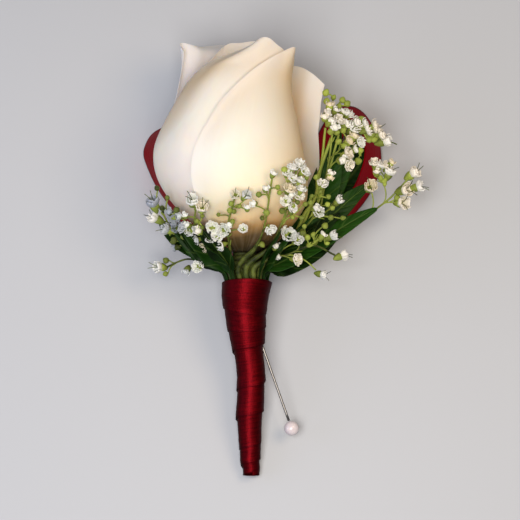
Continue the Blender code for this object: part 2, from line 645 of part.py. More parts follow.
def pierce(names, tip, way, finish, cutters):
    """Bores the pin's way through the pieces it is stuck in."""
    start, end = tip - way * 1.5, tip + way * 9.0
    cutter = add_object("pin_way", tube_mesh("pin_way", [[(start, 0.65), (end, 0.65)]], 2), finish, cutters)
    cutter.hide_render = True
    cutter.display_type = "WIRE"
    for name in names:
        cut = bpy.data.objects[name].modifiers.new("pin hole", "BOOLEAN")
        cut.operation = "DIFFERENCE"
        cut.object = cutter


def main():
    clear_scene()
    group = collection("boutonniere")
    cutters = collection("cutters", hidden=True)
    lay_bunch(group)
    finishes = {
        "petal": material("ivory petal", (0.86, 0.79, 0.66), 0.6),
        "sepal": material("green sepal", (0.10, 0.19, 0.04), 0.6),
        "stem": material("green stem", (0.12, 0.22, 0.05), 0.5),
        "leaf": material("glossy dark leaf", (0.02, 0.07, 0.015), 0.4),
        "sprig": material("baby's breath", (0.72, 0.76, 0.62), 0.7),
        "tape": material("green florist's tape", (0.03, 0.09, 0.02), 0.7),
        "satin": material("crimson satin", (0.20, 0.004, 0.01), 0.35),
        "pearl": material("pearl head", (0.85, 0.82, 0.84), 0.2),
        "steel": material("steel pin", (0.6, 0.6, 0.6), 0.25, metallic=1.0),
    }
    build_rose(finishes, group)
    build_leaves(finishes["leaf"], group)
    build_sprigs(finishes["sprig"], group, cutters)
    build_wrap(finishes, group)
    build_loops(finishes["satin"], group)
    tip, way = build_pin(finishes, group)
    pierce(["ribbon_wrap", "floral_tape"], tip, way, finishes["steel"], cutters)


main()
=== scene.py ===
"""Looks of a rose boutonniere: an ivory rose bud with baby's breath, dark leaves and crimson satin.

Shapes are worked out in the bunch's own frame, in millimetres: x runs to the right, y runs up the stem
from its cut end, and z points out of the bunch's face. to_row() lays them down in the row's metres.
"""

import math
from functools import partial

import bpy
import numpy as np
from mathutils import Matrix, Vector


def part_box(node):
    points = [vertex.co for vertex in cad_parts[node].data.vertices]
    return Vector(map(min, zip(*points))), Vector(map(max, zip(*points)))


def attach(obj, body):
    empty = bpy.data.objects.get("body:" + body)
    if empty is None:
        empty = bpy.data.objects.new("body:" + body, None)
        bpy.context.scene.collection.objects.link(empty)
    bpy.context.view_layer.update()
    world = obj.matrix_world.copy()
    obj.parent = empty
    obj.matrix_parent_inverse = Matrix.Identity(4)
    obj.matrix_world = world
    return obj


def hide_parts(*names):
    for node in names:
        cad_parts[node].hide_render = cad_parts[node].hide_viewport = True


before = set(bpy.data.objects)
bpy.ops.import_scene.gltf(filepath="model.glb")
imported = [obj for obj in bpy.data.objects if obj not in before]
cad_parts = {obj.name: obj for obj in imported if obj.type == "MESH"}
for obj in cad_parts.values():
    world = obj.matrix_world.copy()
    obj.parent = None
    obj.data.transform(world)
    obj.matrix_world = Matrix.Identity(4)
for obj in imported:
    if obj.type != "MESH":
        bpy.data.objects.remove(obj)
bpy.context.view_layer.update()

MM = 0.001
TAU = math.tau
BODY = "root"
PETAL_SEED, BELL_SEED, SPRIG_SEED, BRACT_SEED = 40, 50, 100, 300

# ---------------------------------------------------------------- the bunch's frame

LIE = math.radians(16.0)  # angle between the stem and the surface that the bunch lies on
PIN_HEAD_PLACE = np.array([12.9, 13.6, 0.5])
PIN_HEAD_RADIUS = 2.0
TURN = np.array([[1, 0, 0], [0, math.cos(LIE), -math.sin(LIE)], [0, math.sin(LIE), math.cos(LIE)]])
pin_low, pin_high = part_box("pin_head")
SHIFT = (np.array(pin_low) + np.array(pin_high)) / 2 - TURN @ PIN_HEAD_PLACE * MM


def to_row(points):
    """Bunch millimetres to row metres: turned about x by LIE, then moved so that the pin's head fits."""
    return np.asarray(points, float) @ TURN.T * MM + SHIFT


# ---------------------------------------------------------------- driving sizes, in millimetres

VIEW_MIDDLE = (3.77, 62.35)
VIEW_WIDTH = 150.8  # what the camera sees at the stem's depth
VIEW_DISTANCE = 700.0

ROSE_BASE = 64.7
PETAL_STEP = 1.3
PETAL_THICKNESS = 0.5
SEEN_PETALS = 5  # the outer ones, which have finer grids
BUD_PROFILE = (  # radius, height above the rose base, sideways place of the bud's axis
    (3.6, 0.0, -1.2), (10.0, 3.5, -1.4), (15.6, 8.5, -2.0), (20.1, 14.5, -3.2), (22.3, 22.0, -5.2),
    (22.0, 30.0, -6.2), (19.7, 38.0, -5.4), (17.2, 44.5, -4.2), (14.9, 50.5, -2.2), (12.0, 56.0, 0.9),
    (9.2, 60.0, 3.9), (7.6, 63.5, 6.2),
)
STEM_PROFILE = (  # height up the stem, radius of the rose's stem and hip
    (2.0, 1.2), (10.0, 1.6), (20.0, 2.0), (30.0, 2.2), (40.0, 2.2), (48.0, 2.4), (54.0, 2.6),
    (57.0, 3.1), (60.0, 3.7), (62.5, 3.9), (64.2, 3.3), (67.0, 1.75), (69.6, 0.45),
)
SEPAL_PATH = ((4.25, 62.0), (4.45, 60.4), (4.0, 58.2), (3.55, 55.8), (3.3, 53.6))  # distance out, height
WRAP_PROFILE = (  # height up the stem, sideways place, outer radius of the bound ribbon
    (0.0, 1.2, 2.2), (2.0, 1.2, 2.45), (4.0, 0.9, 2.7), (8.3, 0.9, 3.0), (13.6, 0.7, 3.4),
    (17.7, 0.7, 3.8), (22.0, 1.0, 3.9), (28.2, 1.2, 4.0), (33.0, 0.8, 4.2), (36.3, 0.3, 4.4),
    (39.6, 0.1, 5.0), (43.0, -0.2, 5.5), (47.0, -0.5, 5.9), (52.0, -0.5, 6.9), (56.3, 0.1, 7.6),
)
NECK_PATH = ((3.15, 38.5), (3.9, 47.0), (4.8, 54.0), (5.15, 57.3), (5.75, 59.3))  # distance out, height
PIN_NEEDLE_TIP = np.array([2.95, 41.6, 0.0])
PIN_NEEDLE_RADIUS = 0.35
PIN_GAP = 0.3
STEM_RADIUS = 0.42
STALK_RADIUS = 0.2
COLLAR_CLEAR = 3.2
OPEN, BELL, BUD, GREEN = "open", "bell", "bud", "green"
FLORET_LENGTH = {OPEN: 2.6, BELL: 3.6, BUD: 2.6, GREEN: 1.8}
WHORLS = {  # count, reach, rise, width and starting height of each ring of a floret's petals
    OPEN: ((5, 1.75, 0.95, 1.0, -1.25), (4, 1.25, 1.3, 0.8, -1.2), (3, 0.6, 1.2, 0.55, -1.1)),
    BELL: ((5, 1.5, 1.9, 0.95, -1.75), (4, 1.0, 2.0, 0.75, -1.7)),
}
FLORET_PETAL_THICKNESS = 0.1
# Height and radius up a bud's calyx, and up the furled petals in it.
BUD_CALYX = ((-2.6, 0.25), (-2.35, 0.55), (-1.9, 0.85), (-1.3, 0.98), (-0.9, 0.9), (-0.75, 0.6))
BUD_PETALS = ((-1.3, 0.3), (-1.1, 0.78), (-0.7, 0.92), (-0.3, 0.8), (-0.05, 0.5), (0.05, 0.15))

# The ribbon's lower edge: turns wound so far (a whole number is the front) and height up the stem.
RIBBON_TURNS = (
    (-0.25, -4.2), (0.0, -3.6), (0.5, -0.5), (0.8, 3.0), (1.0, 3.8), (1.2, 4.5), (1.5, 6.2),
    (1.8, 7.6), (2.0, 8.4), (2.2, 9.3), (2.5, 13.0), (2.8, 16.6), (3.0, 17.5), (3.2, 18.4),
    (3.5, 21.8), (3.8, 24.9), (4.0, 25.8), (4.2, 26.8), (4.5, 31.5), (4.8, 36.1), (5.0, 37.0),
    (5.2, 38.0), (5.5, 40.2), (5.8, 41.7), (6.0, 41.6), (6.2, 42.6), (6.5, 46.2), (6.8, 48.3),
    (7.0, 46.7), (7.2, 46.6), (7.5, 47.2),
)
RIBBON_WIDTH = 11.8
RIBBON_TOP = 56.3
TAPE_TURNS = tuple((turn, 2.3 + 8.4 * turn) for turn in range(7))
TAPE_WIDTH = 12.0
STRIP_LINES = 17  # grid lines across the ribbon and the tape
LOOP_THICKNESS = 0.3
LOOP_PAINTED_LIGHT = 0.85  # how much brighter the loops are painted than the bound ribbon: painted light
FOLDED_END = ((0.0, 0.3), (0.04, 1.5), (0.2, 1.95), (0.7, 2.1), (0.8, 0.4))  # height, radius

# What a petal has unless its own row says otherwise. Angles are degrees round the bud's axis, 0 in front.
PLAIN_PETAL = dict(
    twist=12,  # how far the tip is turned past the foot
    round=0.7,  # how far the corners are rounded off, 1 at most
    narrow=0.0,  # share of the width lost at the foot
    flare=0.0, flare_from=0.5, flare_power=2.0,  # opening of the top, its share of the height, its curve
    flat=0.0,  # 1 makes the left half straight instead of round the bud
    roll=0.0,  # how far the rim turns out
    apex=0.0, tip=0.0, tip_out=0.0,  # the point's place across, its rise and how far it leans out
    wave=0.22, crest=0.0,  # heights of the edge's wave and of the fold that runs up the face
    flush_and_painted_shade=((0.0, 1.0, 0.1), (0.5, 1.0, 0.1)),  # across and then up: from, to, warm tint, partly the rose's own and partly painted shade; below 0 painted cool shade
    cool=0.0,  # lilac grey low on the face, painted cool shade
)
# From the outside in: at is the middle's angle, span half the width in degrees, layer the steps out from
# the bud's profile, and top the share of that profile that the petal climbs.
# The flush rows paint shade: tan and apricot where a petal turns from the light or lies beside its
# neighbour, lilac grey on the dim ones.
OUTER_PETALS = (
    dict(at=150, span=42, twist=-10, layer=3, top=0.825, round=0.4, narrow=0.5, flare=6.0, wave=0.08,
         flare_from=0.55, flare_power=1.0, flat=1.0, flush_and_painted_shade=((-0.75, -0.42, 0.4), (0.9, 1.0, 0.0))),
    dict(at=-205, span=57, twist=52, layer=2, top=0.957, round=0.35, narrow=0.5, flare=22.0,
         flare_from=0.6, flare_power=4.0, apex=0.85, tip=2.4, tip_out=4.0,
         flush_and_painted_shade=((-1.1, -1.0, -1.0), (0.5, 1.0, -0.1))),
    dict(at=-205, span=66, twist=36, layer=1, top=0.975, round=0.8, narrow=0.4, flare=7.0,
         flare_from=0.6, apex=0.5, tip=1.5),
    dict(at=54, span=92, twist=8, layer=0, top=0.905, round=0.9, roll=0.8, tip=0.9, tip_out=1.3,
         flush_and_painted_shade=((-0.45, 0.35, 0.6), (0.6, 1.0, 0.35))),
    dict(at=-45, span=115, twist=55, layer=-1, top=0.948, round=0.6, roll=0.5, tip=1.2, tip_out=0.3,
         crest=1.2, cool=0.6, flush_and_painted_shade=((-0.15, -0.5, 0.42), (0.7, 0.97, 0.36))),
)
INNER_PETALS = (  # at, span and top of each, a layer further in each time
    (165, 100, 0.955), (20, 100, 0.945), (-115, 100, 0.93), (110, 95, 0.915), (-20, 95, 0.9),
    (-150, 95, 0.88), (75, 90, 0.86),
)
PETALS = [PLAIN_PETAL | petal for petal in OUTER_PETALS]
PETALS += [PLAIN_PETAL | dict(at=at, span=span, top=top, layer=-2 - deeper)
           for deeper, (at, span, top) in enumerate(INNER_PETALS)]

# Broad leaves: slot is the stalk's angle in the ring of bound stems, in degrees, petiole the number of
# midrib points that are bare stalk, width half the blade's, face the way that its upper side looks, and
# shade how pale its green is. midrib holds the points outside the binding.
LEAVES = {
    "leaf_lower_right": dict(
        slot=69, petiole=0, width=4, fullest=0.7, face=(-0.35, 0.55, 0.75), shade=0.55,
        midrib=(
            (9, 61, 0.6), (17, 65.4, -2.2), (25, 70, -3.8), (32, 74.2, -4.6), (38, 77.4, -5),
        ),
    ),
    "leaf_upper_right": dict(
        slot=178, petiole=3, width=7.1, fullest=0.95, face=(0, 0.28, 0.96), shade=0.5,
        midrib=(
            (5, 62.6, -10.2), (10.6, 66.8, -13.4), (15.5, 71.2, -18.6), (20.5, 76, -22.4),
            (27.5, 83.2, -25.6), (34.2, 91.6, -27.9), (39.5, 98.6, -29.9),
        ),
    ),
    "leaf_left": dict(
        slot=-138, petiole=1, width=3.5, fullest=1.1, face=(0.3, 0.4, 0.85), shade=0.3,
        midrib=(
            (-8, 61.9, -7), (-13.5, 64.6, -8.2), (-19.5, 68.4, -9.3), (-25.8, 73.6, -11),
        ),
    ),
}

# Each loop's two edges, from where they leave the binding round to where they come back to it.
RIBBON_LOOPS = {
    "ribbon_loop_left": dict(
        front=(
            (-2.9, 59.4, -7.9), (-6, 61.6, -10.2), (-10.5, 66, -12.9), (-17.6, 75.2, -16.2),
            (-24.2, 84.5, -17.8), (-26.8, 91.8, -18.4), (-26.5, 96.8, -19.2), (-25.2, 98.5, -20.2),
            (-24.4, 95.2, -20.6), (-23.2, 87.8, -20.2), (-19.2, 78.5, -19.4), (-12.4, 69.5, -16.2),
            (-5.6, 64.6, -12.6), (-2.6, 61.2, -9.4),
        ),
        back=(
            (-3.4, 57, -8.9), (-6.6, 59, -12), (-12.5, 64, -17.2), (-20, 74.2, -22.2),
            (-27.2, 84.2, -25.6), (-31, 92.8, -28.3), (-30.2, 98.4, -30.1), (-26.2, 102.3, -31.38),
            (-21.6, 100.8, -30.8), (-18.6, 94, -28.5), (-15, 84, -25.7), (-9.5, 72, -21.4),
            (-4.6, 64.5, -16.6), (-2.6, 58.4, -10.6),
        ),
    ),
    "ribbon_loop_right": dict(
        front=(
            (2.9, 59.4, -7.9), (6.2, 61.2, -9.8), (12, 65.2, -12), (22, 74, -13.5), (30.5, 82.5, -15.5),
            (34.2, 90, -17.8), (34.9, 97, -19.6), (32.7, 102, -21), (30, 101.6, -21.4),
            (28, 97.5, -21.2), (25.5, 90.5, -20.6), (20.5, 80.5, -19.4), (13, 72, -17),
            (6.5, 66.2, -13.8), (2.4, 61.2, -9.4),
        ),
        back=(
            (3.4, 57, -8.9), (7.2, 59.2, -12.2), (13, 62.8, -16.6), (25, 70, -20.9), (34.9, 79.6, -23.2),
            (39.6, 89.2, -25.8), (40, 97, -28.4), (36.8, 104.8, -31.7), (31.4, 109, -33.26),
            (25.6, 107.2, -32.6), (20.6, 98.6, -30.1), (15.4, 86, -26.4), (9.5, 74.5, -22.4),
            (4.8, 65.5, -17), (2.4, 58.4, -10.6),
        ),
    ),
}

# Baby's breath: slot is the stem's angle in the ring of bound stems, and stem its points above them. A
# floret's row is its place across and up, its depth off the collar, and its kind. tint takes the petals
# from blue grey at 0, painted shade on the sprigs in shadow at the bunch's left, to cream at 1, size
# scales open and half-open florets, and swell scales buds.
SPRIGS = {
    # A low tint paints these florets blue grey as shade.
    "sprig_left_outer": dict(
        slot=-92, tint=0.02, size=1.1, stem=((-12.5, 63.8, -1.5), (-20, 69, -1.6)),
        florets=(
            (-27, 79.5, -2, BELL), (-27.5, 75, -1, BELL), (-24.5, 77.5, -3, BUD), (-22.5, 76.5, 0, BUD),
            (-21, 74.4, 1, OPEN), (-24, 71.5, 1, BELL), (-22.5, 67.5, 1, GREEN), (-26, 83.5, -3, GREEN),
        ),
    ),
    "sprig_left_mid": dict(
        slot=-69, tint=0.3, stem=((-10, 64.5, 5.8), (-13.5, 70, 7.5)),
        florets=(
            (-15.2, 79.6, 0, BELL), (-16.5, 71, 0, OPEN), (-15, 67.8, 1.5, OPEN), (-13, 65.5, 2, OPEN),
            (-10.5, 68.5, 1.5, OPEN), (-9.5, 71.6, 1.4, OPEN), (-12.4, 77.4, 0.5, BELL),
            (-17.6, 75.5, 0, BUD),
        ),
    ),
    "sprig_left_low": dict(
        slot=-115, tint=0.35, size=1.25, stem=((-10.5, 60.9, -4.2), (-17.5, 62.6, -4.2)),
        florets=(
            (-26.4, 60.4, 1, BELL), (-24.5, 62.8, 0, GREEN), (-14.4, 60.6, 2.5, OPEN),
            (-18, 58.4, -2, BUD),
        ),
    ),
    "sprig_front_left": dict(
        slot=-46, stem=((-5, 66, 8.9), (-5.4, 71, 14)),
        florets=(
            (-3.2, 80.8, 0, BELL), (-8, 66.3, 2, OPEN), (-6.8, 70.6, 0.5, OPEN), (-8, 75.5, 0, GREEN),
            (-1, 71.5, 1, OPEN), (-4.6, 77, 0, GREEN), (0.2, 80.8, 0, BELL), (-1.6, 77.6, 0, GREEN),
        ),
    ),
    "sprig_front_mid": dict(
        slot=-23,
        stem=((2.5, 66, 8.5), (5, 72, 14.3), (5.8, 77, 17.7)),
        florets=(
            (7.8, 87.2, 0, BUD), (7, 70.6, 1.5, OPEN), (5.6, 82.8, 0, BUD), (1.6, 78.2, 0, BUD),
            (9, 83.4, 0, GREEN), (5, 66, 1, GREEN),
        ),
    ),
    "sprig_front_right": dict(
        slot=0,
        stem=((6.5, 66, 7.5), (9.6, 72, 11.5), (11.5, 77, 14)),
        florets=(
            (15.2, 90, 0, OPEN), (11.4, 87.2, 0, OPEN), (15.4, 85.4, 0, OPEN), (12.2, 83, 0, OPEN),
            (11, 79.2, 1, OPEN), (15, 80.8, 0, OPEN), (17.6, 86.2, 0, GREEN), (12.6, 75.6, 0.5, GREEN),
        ),
    ),
    "sprig_front_low": dict(
        slot=23, size=1.2, stem=((9.5, 64.5, 6),),
        florets=(
            (12.2, 69.8, 2, OPEN), (15, 62.6, 6.5, OPEN), (8.8, 63.4, 1, BUD),
        ),
    ),
    "sprig_right_low": dict(
        slot=46, stem=((12.9, 64.4, 4.1), (18.5, 66.5, 4.8)),
        florets=(
            (28.5, 64, 3, BELL), (25.5, 69.6, 6, BELL), (22.5, 58, 7.5, BELL), (19.6, 70.4, 3, GREEN),
            (22.4, 70.2, 5, BUD),
        ),
    ),
    "sprig_right_mid": dict(
        slot=133,
        stem=((9, 65.5, -5.5), (14, 69.5, -3.5), (19, 74.5, 2.5)),
        florets=(
            (21.8, 84.6, 2, OPEN), (27, 80, 3, BELL), (20.2, 77.4, 3, BUD), (24.6, 75, 5, GREEN),
            (24, 80.8, 3, GREEN), (28.6, 74.6, 6, GREEN), (18.8, 81, 1, GREEN), (24.4, 87.8, 2, BUD),
        ),
    ),
    "sprig_right_high": dict(
        slot=155, tint=0.62, size=1.15, swell=1.2,
        stem=(
            (8.5, 64.8, -9), (13, 67, -10.5), (20.5, 75, -10.5), (22.8, 85, -8), (24.4, 95, -4.5),
        ),
        florets=(
            (25.8, 110.6, -3, GREEN), (23.5, 112.1, -3, GREEN), (28.3, 110.2, -3, GREEN),
            (30.2, 108.8, -3, GREEN), (30, 105.6, -1, OPEN), (24.2, 108.2, -1, BUD),
            (27.2, 103.4, 1, OPEN), (25.6, 101, 2, BUD), (22.5, 104.2, 0, BUD), (33, 102.6, 0, OPEN),
            (38.5, 100.6, -2, BELL), (41.5, 97.4, -2, BELL), (33.6, 96.8, 1, OPEN),
            (29.8, 93.4, 2, OPEN), (30, 89.6, 4, OPEN),
        ),
    ),
    "sprig_right_far": dict(
        slot=111, tint=0.6, size=1.15,
        stem=((12.5, 62.4, -8), (24, 67.2, -9.5), (36, 76, -9.5), (42, 80.6, -6.5)),
        florets=(
            (49.5, 88, 0, BELL), (51, 84, 0, BELL), (47.2, 83, 1.5, BELL), (46, 79, 0, BELL),
            (40.4, 85.2, 0, GREEN), (42, 88.8, 0, BELL), (39, 90.6, -1, OPEN), (36, 84, 2, BELL),
        ),
    ),
}

# Florets that the frame's simple sprigs leave out, with the same rows.
MORE_FLORETS = {
    "sprig_left_outer": (
        (-24.4, 77.7, 0.5, GREEN), (-20.4, 71.7, 0.5, BELL), (-20.4, 77.2, 0, GREEN),
        (-22, 68.6, 0, GREEN), (-21.5, 65.9, -1, BUD), (-23, 80.6, -2, GREEN),
    ),
    "sprig_left_mid": (
        (-17.4, 72.6, 1.5, BUD), (-12.5, 71.8, 1, GREEN), (-18.8, 71.8, 1, OPEN), (-19.6, 75, 0.5, BUD),
        (-14.2, 71, 1, BUD), (-14, 73.8, 0, GREEN), (-19.2, 69, 1, GREEN), (-12.8, 74.9, 0, GREEN),
        (-18.2, 70.4, 0.5, GREEN),
    ),
    "sprig_left_low": ((-24.6, 58, 0, GREEN),),
    "sprig_front_left": (
        (-3.6, 76.4, 0.3, GREEN), (-4, 73.6, 0, GREEN), (-5, 72.4, 0.5, BUD), (-8.6, 69.4, 1.5, OPEN),
        (-4.2, 78.4, 0.2, GREEN), (0.3, 77.6, 0.2, BUD),
    ),
    "sprig_front_mid": (
        (6, 76, 0, GREEN), (3.2, 81, 0, GREEN), (4.4, 74, 0.4, GREEN),
    ),
    "sprig_front_right": (
        (10.7, 88.4, 0.2, GREEN), (13, 89, 0.6, OPEN), (17, 88, 0.4, OPEN), (13.2, 85.6, 0.8, OPEN),
        (15.6, 83, 0.8, OPEN), (13.2, 77.2, 0.8, OPEN), (12.8, 80.8, 0.8, BUD), (14.8, 78.8, 0.4, GREEN),
        (13.4, 77.6, 0.6, GREEN), (9.4, 81.8, 0, GREEN), (17.4, 78.6, 0.5, GREEN), (9.8, 76.6, 0, GREEN),
        (16.5, 74.5, 1, GREEN), (17.2, 83, 0.4, GREEN), (13.4, 74, 0, GREEN),
    ),
    "sprig_front_low": (
        (8.6, 66.8, 1, BUD), (16.8, 70.3, 3, GREEN), (14.2, 67.6, 3, GREEN),
    ),
    "sprig_right_low": (
        (22, 68.7, 4, GREEN), (16.8, 72.4, 2.5, GREEN), (14.8, 68.6, 3.5, OPEN),
        (17.6, 69.4, 3.5, GREEN), (20.6, 67.6, 4.5, GREEN), (24, 67.4, 5, GREEN), (23, 73, 4, GREEN),
        (18.2, 67, 4, GREEN),
    ),
    "sprig_right_mid": (
        (20.8, 76.2, 3, BELL), (20, 86.6, 1, GREEN), (21.4, 82.4, 2, GREEN), (25.2, 77.6, 3.5, GREEN),
        (18.2, 79.2, 2.5, GREEN), (23.8, 78.6, 3, GREEN),
    ),
    "sprig_right_high": (
        (23.4, 109.6, -3, GREEN), (27.4, 108.2, -3, GREEN), (29.4, 106.6, -2, GREEN),
        (23.8, 105.4, -1, BUD), (29.6, 102.4, 0.5, BUD), (26.8, 99.4, 1.5, GREEN),
        (28.6, 100.4, 1, GREEN), (35.9, 100.6, 0, OPEN), (34, 94.4, 1, GREEN), (33.4, 91.2, 1.5, GREEN),
        (36.4, 98, 0, GREEN), (29, 95.6, 1.5, GREEN), (24.4, 99.6, 1, GREEN), (31.6, 99.2, 1, BUD),
        (27.2, 97, 1.4, GREEN), (31.4, 101.6, 0.5, OPEN), (37.9, 101.4, -1, OPEN),
        (39.8, 99.4, -1, OPEN), (24.8, 103.4, 0.5, BUD), (28.4, 106, -1, BUD), (35, 102, -0.5, OPEN),
        (32.2, 94.8, 1.5, BUD), (28.2, 91.2, 2.5, BUD), (37.4, 99.2, 0, GREEN),
        (38.2, 97.8, -0.5, GREEN), (30.4, 97.4, 1.5, BUD), (26.2, 106.6, -1, BUD), (24, 86.2, 2, BUD),
        (34.4, 104, -1, GREEN),
    ),
    "sprig_right_far": (
        (37.4, 91.2, 0, OPEN), (44.6, 80.6, 0, GREEN), (38.8, 87, 0.5, GREEN), (41.2, 90.4, -0.5, OPEN),
        (37.8, 88.6, 0.5, BUD), (42.6, 91.4, -0.5, BUD), (40.6, 86.2, 0, GREEN),
    ),
}

# Smaller leaves beside each broad one, every one on its own stalk out of the binding.
LEAFLETS = {
    "leaf_upper_right": (
        dict(slot=140, width=5, face=(-0.25, 0.15, 0.95), shade=0.55, midrib=(
            (10, 64.5, -8), (15, 69.5, -11), (20.4, 77.5, -12.5), (23.6, 86, -13),
            (25.6, 94.5, -13.5), (27.5, 102, -15.5))),
        dict(slot=160, width=4.6, face=(0.1, 0.15, 0.95), shade=0.65, midrib=(
            (8.6, 64, -9.4), (15, 70.5, -13.5), (21.5, 79, -15.5), (26.5, 87, -16.8),
            (30, 94.5, -18), (31.5, 100.5, -18.8))),
        dict(slot=120, width=3.6, face=(0.1, 0.2, 0.95), shade=0.45, midrib=(
            (10.5, 64, -6), (17, 68.5, -7.5), (24.5, 75, -9), (31, 80.8, -10.5),
            (37, 85.4, -12.5))),
    ),
    "leaf_lower_right": (
        dict(slot=80, width=4.6, face=(-0.1, 0.5, 0.85), shade=0, midrib=(
            (8, 60.2, -1.5), (13.6, 62.4, -2), (19.4, 65.2, -2.5), (26.4, 69, -3))),
        dict(slot=95, width=3.6, face=(-0.2, 0.4, 0.9), shade=0.05, midrib=(
            (8.6, 61.6, -3), (14, 65.4, -4.5), (20.4, 70.4, -5.5), (27, 76, -6.5))),
    ),
    "leaf_left": (
        dict(slot=-100, width=3.4, face=(0.2, 0.45, 0.85), shade=0, midrib=(
            (-8.4, 62.6, -2), (-12.6, 65.6, -3), (-17, 68.8, -4.5), (-22.6, 73.4, -6))),
    ),
}

# Bare stems that stand beside a sprig's own, each a radius and the points outside the wrap.
MORE_STEMS = {
    "sprig_right_high": (
        (0.55, ((9, 64.6, -8), (13.4, 69, -9), (17.6, 78, -9.4), (20.4, 86, -9), (24.6, 98, -7))),
        (0.45, ((9, 64.6, -8), (14, 69, -9.6), (19, 79, -10), (21.4, 88, -9.4), (22.9, 101, -6))),
        (0.4, ((9.2, 64.2, -7.6), (15, 69.4, -9), (20.6, 79, -9), (23.8, 88, -8.6), (26.8, 99, -5))),
    ),
}


# ---------------------------------------------------------------- curves and surfaces

def unit(vectors):
    """Each vector along the last axis, at length 1."""
    return vectors / np.maximum(np.linalg.norm(vectors, axis=-1, keepdims=True), 1e-9)


def lengths_along(points):
    """How far each point lies along the straight run through them."""
    return np.concatenate([[0.0], np.cumsum(np.linalg.norm(np.diff(points, axis=0), axis=1))])


def smooth_curve(points, t):
    """A smooth curve through the points, at shares t of its chord length."""
    p = np.asarray(points, float)
    chord = lengths_along(p)
    return curve_at(p, chord / chord[-1], t)


def even_curve(points, t):
    """The same curve, but with each point the same share after the last."""
    return curve_at(np.asarray(points, float), np.linspace(0.0, 1.0, len(points)), t)


def curve_at(p, knots, t):
    """The cubic through the points p, with the slope at each knot taken from its two neighbours."""
    slope = np.gradient(p, knots, axis=0)
    t = np.clip(np.asarray(t, float), knots[0], knots[-1])
    i = np.clip(np.searchsorted(knots, t, side="right") - 1, 0, len(p) - 2)
    step = (knots[i + 1] - knots[i])[..., None]
    s = (t - knots[i])[..., None] / step
    return ((2 * s**3 - 3 * s**2 + 1) * p[i] + (s**3 - 2 * s**2 + s) * step * slope[i]
            + (3 * s**2 - 2 * s**3) * p[i + 1] + (s**3 - s**2) * step * slope[i + 1])


def smoothstep(x, low, high):
    """0 below low and 1 above high, with a smooth step between them."""
    t = np.clip((x - low) / (high - low), 0.0, 1.0)
    return t * t * (3.0 - 2.0 * t)


def bell_curve(x, width):
    """1 at x = 0, falling to 1/e at the width on either side."""
    return np.exp(-((x / width) ** 2))


def across_and_along(columns, rows):
    """A grid's u, from -1 to 1 across it, and v, from 0 to 1 along it."""
    return np.meshgrid(np.linspace(-1, 1, columns), np.linspace(0, 1, rows))


def round_axis(middle, radius, up, angle):
    """Points at an angle and radius round an upright axis. Angles run from the front to the right."""
    x, z = middle + radius * np.sin(angle), radius * np.cos(angle)
    return np.stack(np.broadcast_arrays(x, up, z), -1)


def bud_offset(t, offset):
    """Radius, height and sideways place of the bud's profile at share t, moved outwards by offset."""
    near, thinnest = 1e-3, 0.6
    centre = smooth_curve(BUD_PROFILE, t)
    along = (smooth_curve(BUD_PROFILE, t + near) - smooth_curve(BUD_PROFILE, t - near))[..., :2]
    along /= np.linalg.norm(along, axis=-1, keepdims=True)
    radius = np.maximum(centre[..., 0] + along[..., 1] * offset, thinnest)
    return radius, centre[..., 1] - along[..., 0] * offset, centre[..., 2]


def petal_share_up(u, v, rounding):
    """The share of a petal's height at a point of its square, lower at the corners as they round off."""
    return v * np.sqrt(1 - rounding * u * u / 2)


def petal_edge(u, up, v):
    """0 in the middle of a petal and 1 along its two sides and its tip."""
    return (np.abs(u) ** 10 * smoothstep(up, 0.1, 0.5) + v**10) ** 0.1


def petal_surface(u, v, shape):
    """A petal wrapped round the bud: u runs across from -1 to 1 and v from the foot at 0 to the tip at 1.

    The square is rounded off, its height picks a place on the bud's profile, and its width is an angle
    round the bud's axis. The upper part flares out, the rim rolls out, and the tip rises to a point.
    """
    across = u * np.sqrt(1 - shape["round"] * v * v / 2)
    up = petal_share_up(u, v, shape["round"])
    t = up * shape["top"]
    radius, height, middle = bud_offset(t, shape["layer"] * PETAL_STEP)
    width = shape["span"] * (1 - shape["narrow"] * (1 - up**1.3))
    angle = np.radians(shape["at"] + shape["twist"] * up + width * across)
    start = shape["flare_from"]
    opened = np.clip((t - start) / (1 - start), 0, 1) ** shape["flare_power"]
    spread = np.cos(shape["flat"] * np.radians(width * np.minimum(across, 0.0)))
    radius = (radius + shape["flare"] * opened) / spread
    radius = radius + shape["roll"] * smoothstep(petal_edge(u, up, v), 0.8, 1.0) ** 2
    point = bell_curve(u - shape["apex"], 0.17) * smoothstep(v, 0.72, 1.0) ** 2
    height = ROSE_BASE + height + shape["tip"] * point
    return round_axis(middle, radius + shape["tip_out"] * point, height, angle)


def bud_axis(height):
    """Sideways place of the bud's middle at a height up the stem."""
    rows = np.array(BUD_PROFILE)
    return np.interp(height - ROSE_BASE, rows[:, 1], rows[:, 2])


def wrap_at(height):
    """Sideways place and outer radius of the wrap at a height up the stem."""
    rows = np.array(WRAP_PROFILE)
    return np.interp(height, rows[:, 0], rows[:, 1]), np.interp(height, rows[:, 0], rows[:, 2])


def stem_axis(height):
    """Sideways place of the rose stem's middle: the wrap's middle, then the rose base."""
    rows = np.array(WRAP_PROFILE)
    return np.interp(height, [*rows[:, 0], ROSE_BASE], [*rows[:, 1], BUD_PROFILE[0][2]])


def bud_guard(height, angle):
    """The least radius that clears the bud at a height up the stem, wider behind for the guard petals.

    The guard petals begin 110 degrees round from the front low down, and 65 degrees round higher up.
    """
    t = np.linspace(0.0, 1.0, 80)
    clearance, guard_layer = 1.0, 3.0
    found = []
    for layer in (0.0, guard_layer * PETAL_STEP):
        radius, above, _ = bud_offset(t, layer + clearance)
        found.append(np.interp(height - ROSE_BASE, above, radius, left=0.0))
    edge = 110.0 - 45.0 * smoothstep(height, 70.0, 95.0)
    behind = smoothstep(np.degrees(np.abs(angle)), edge, edge + 25.0)
    return found[0] * (1 - behind) + found[1] * behind


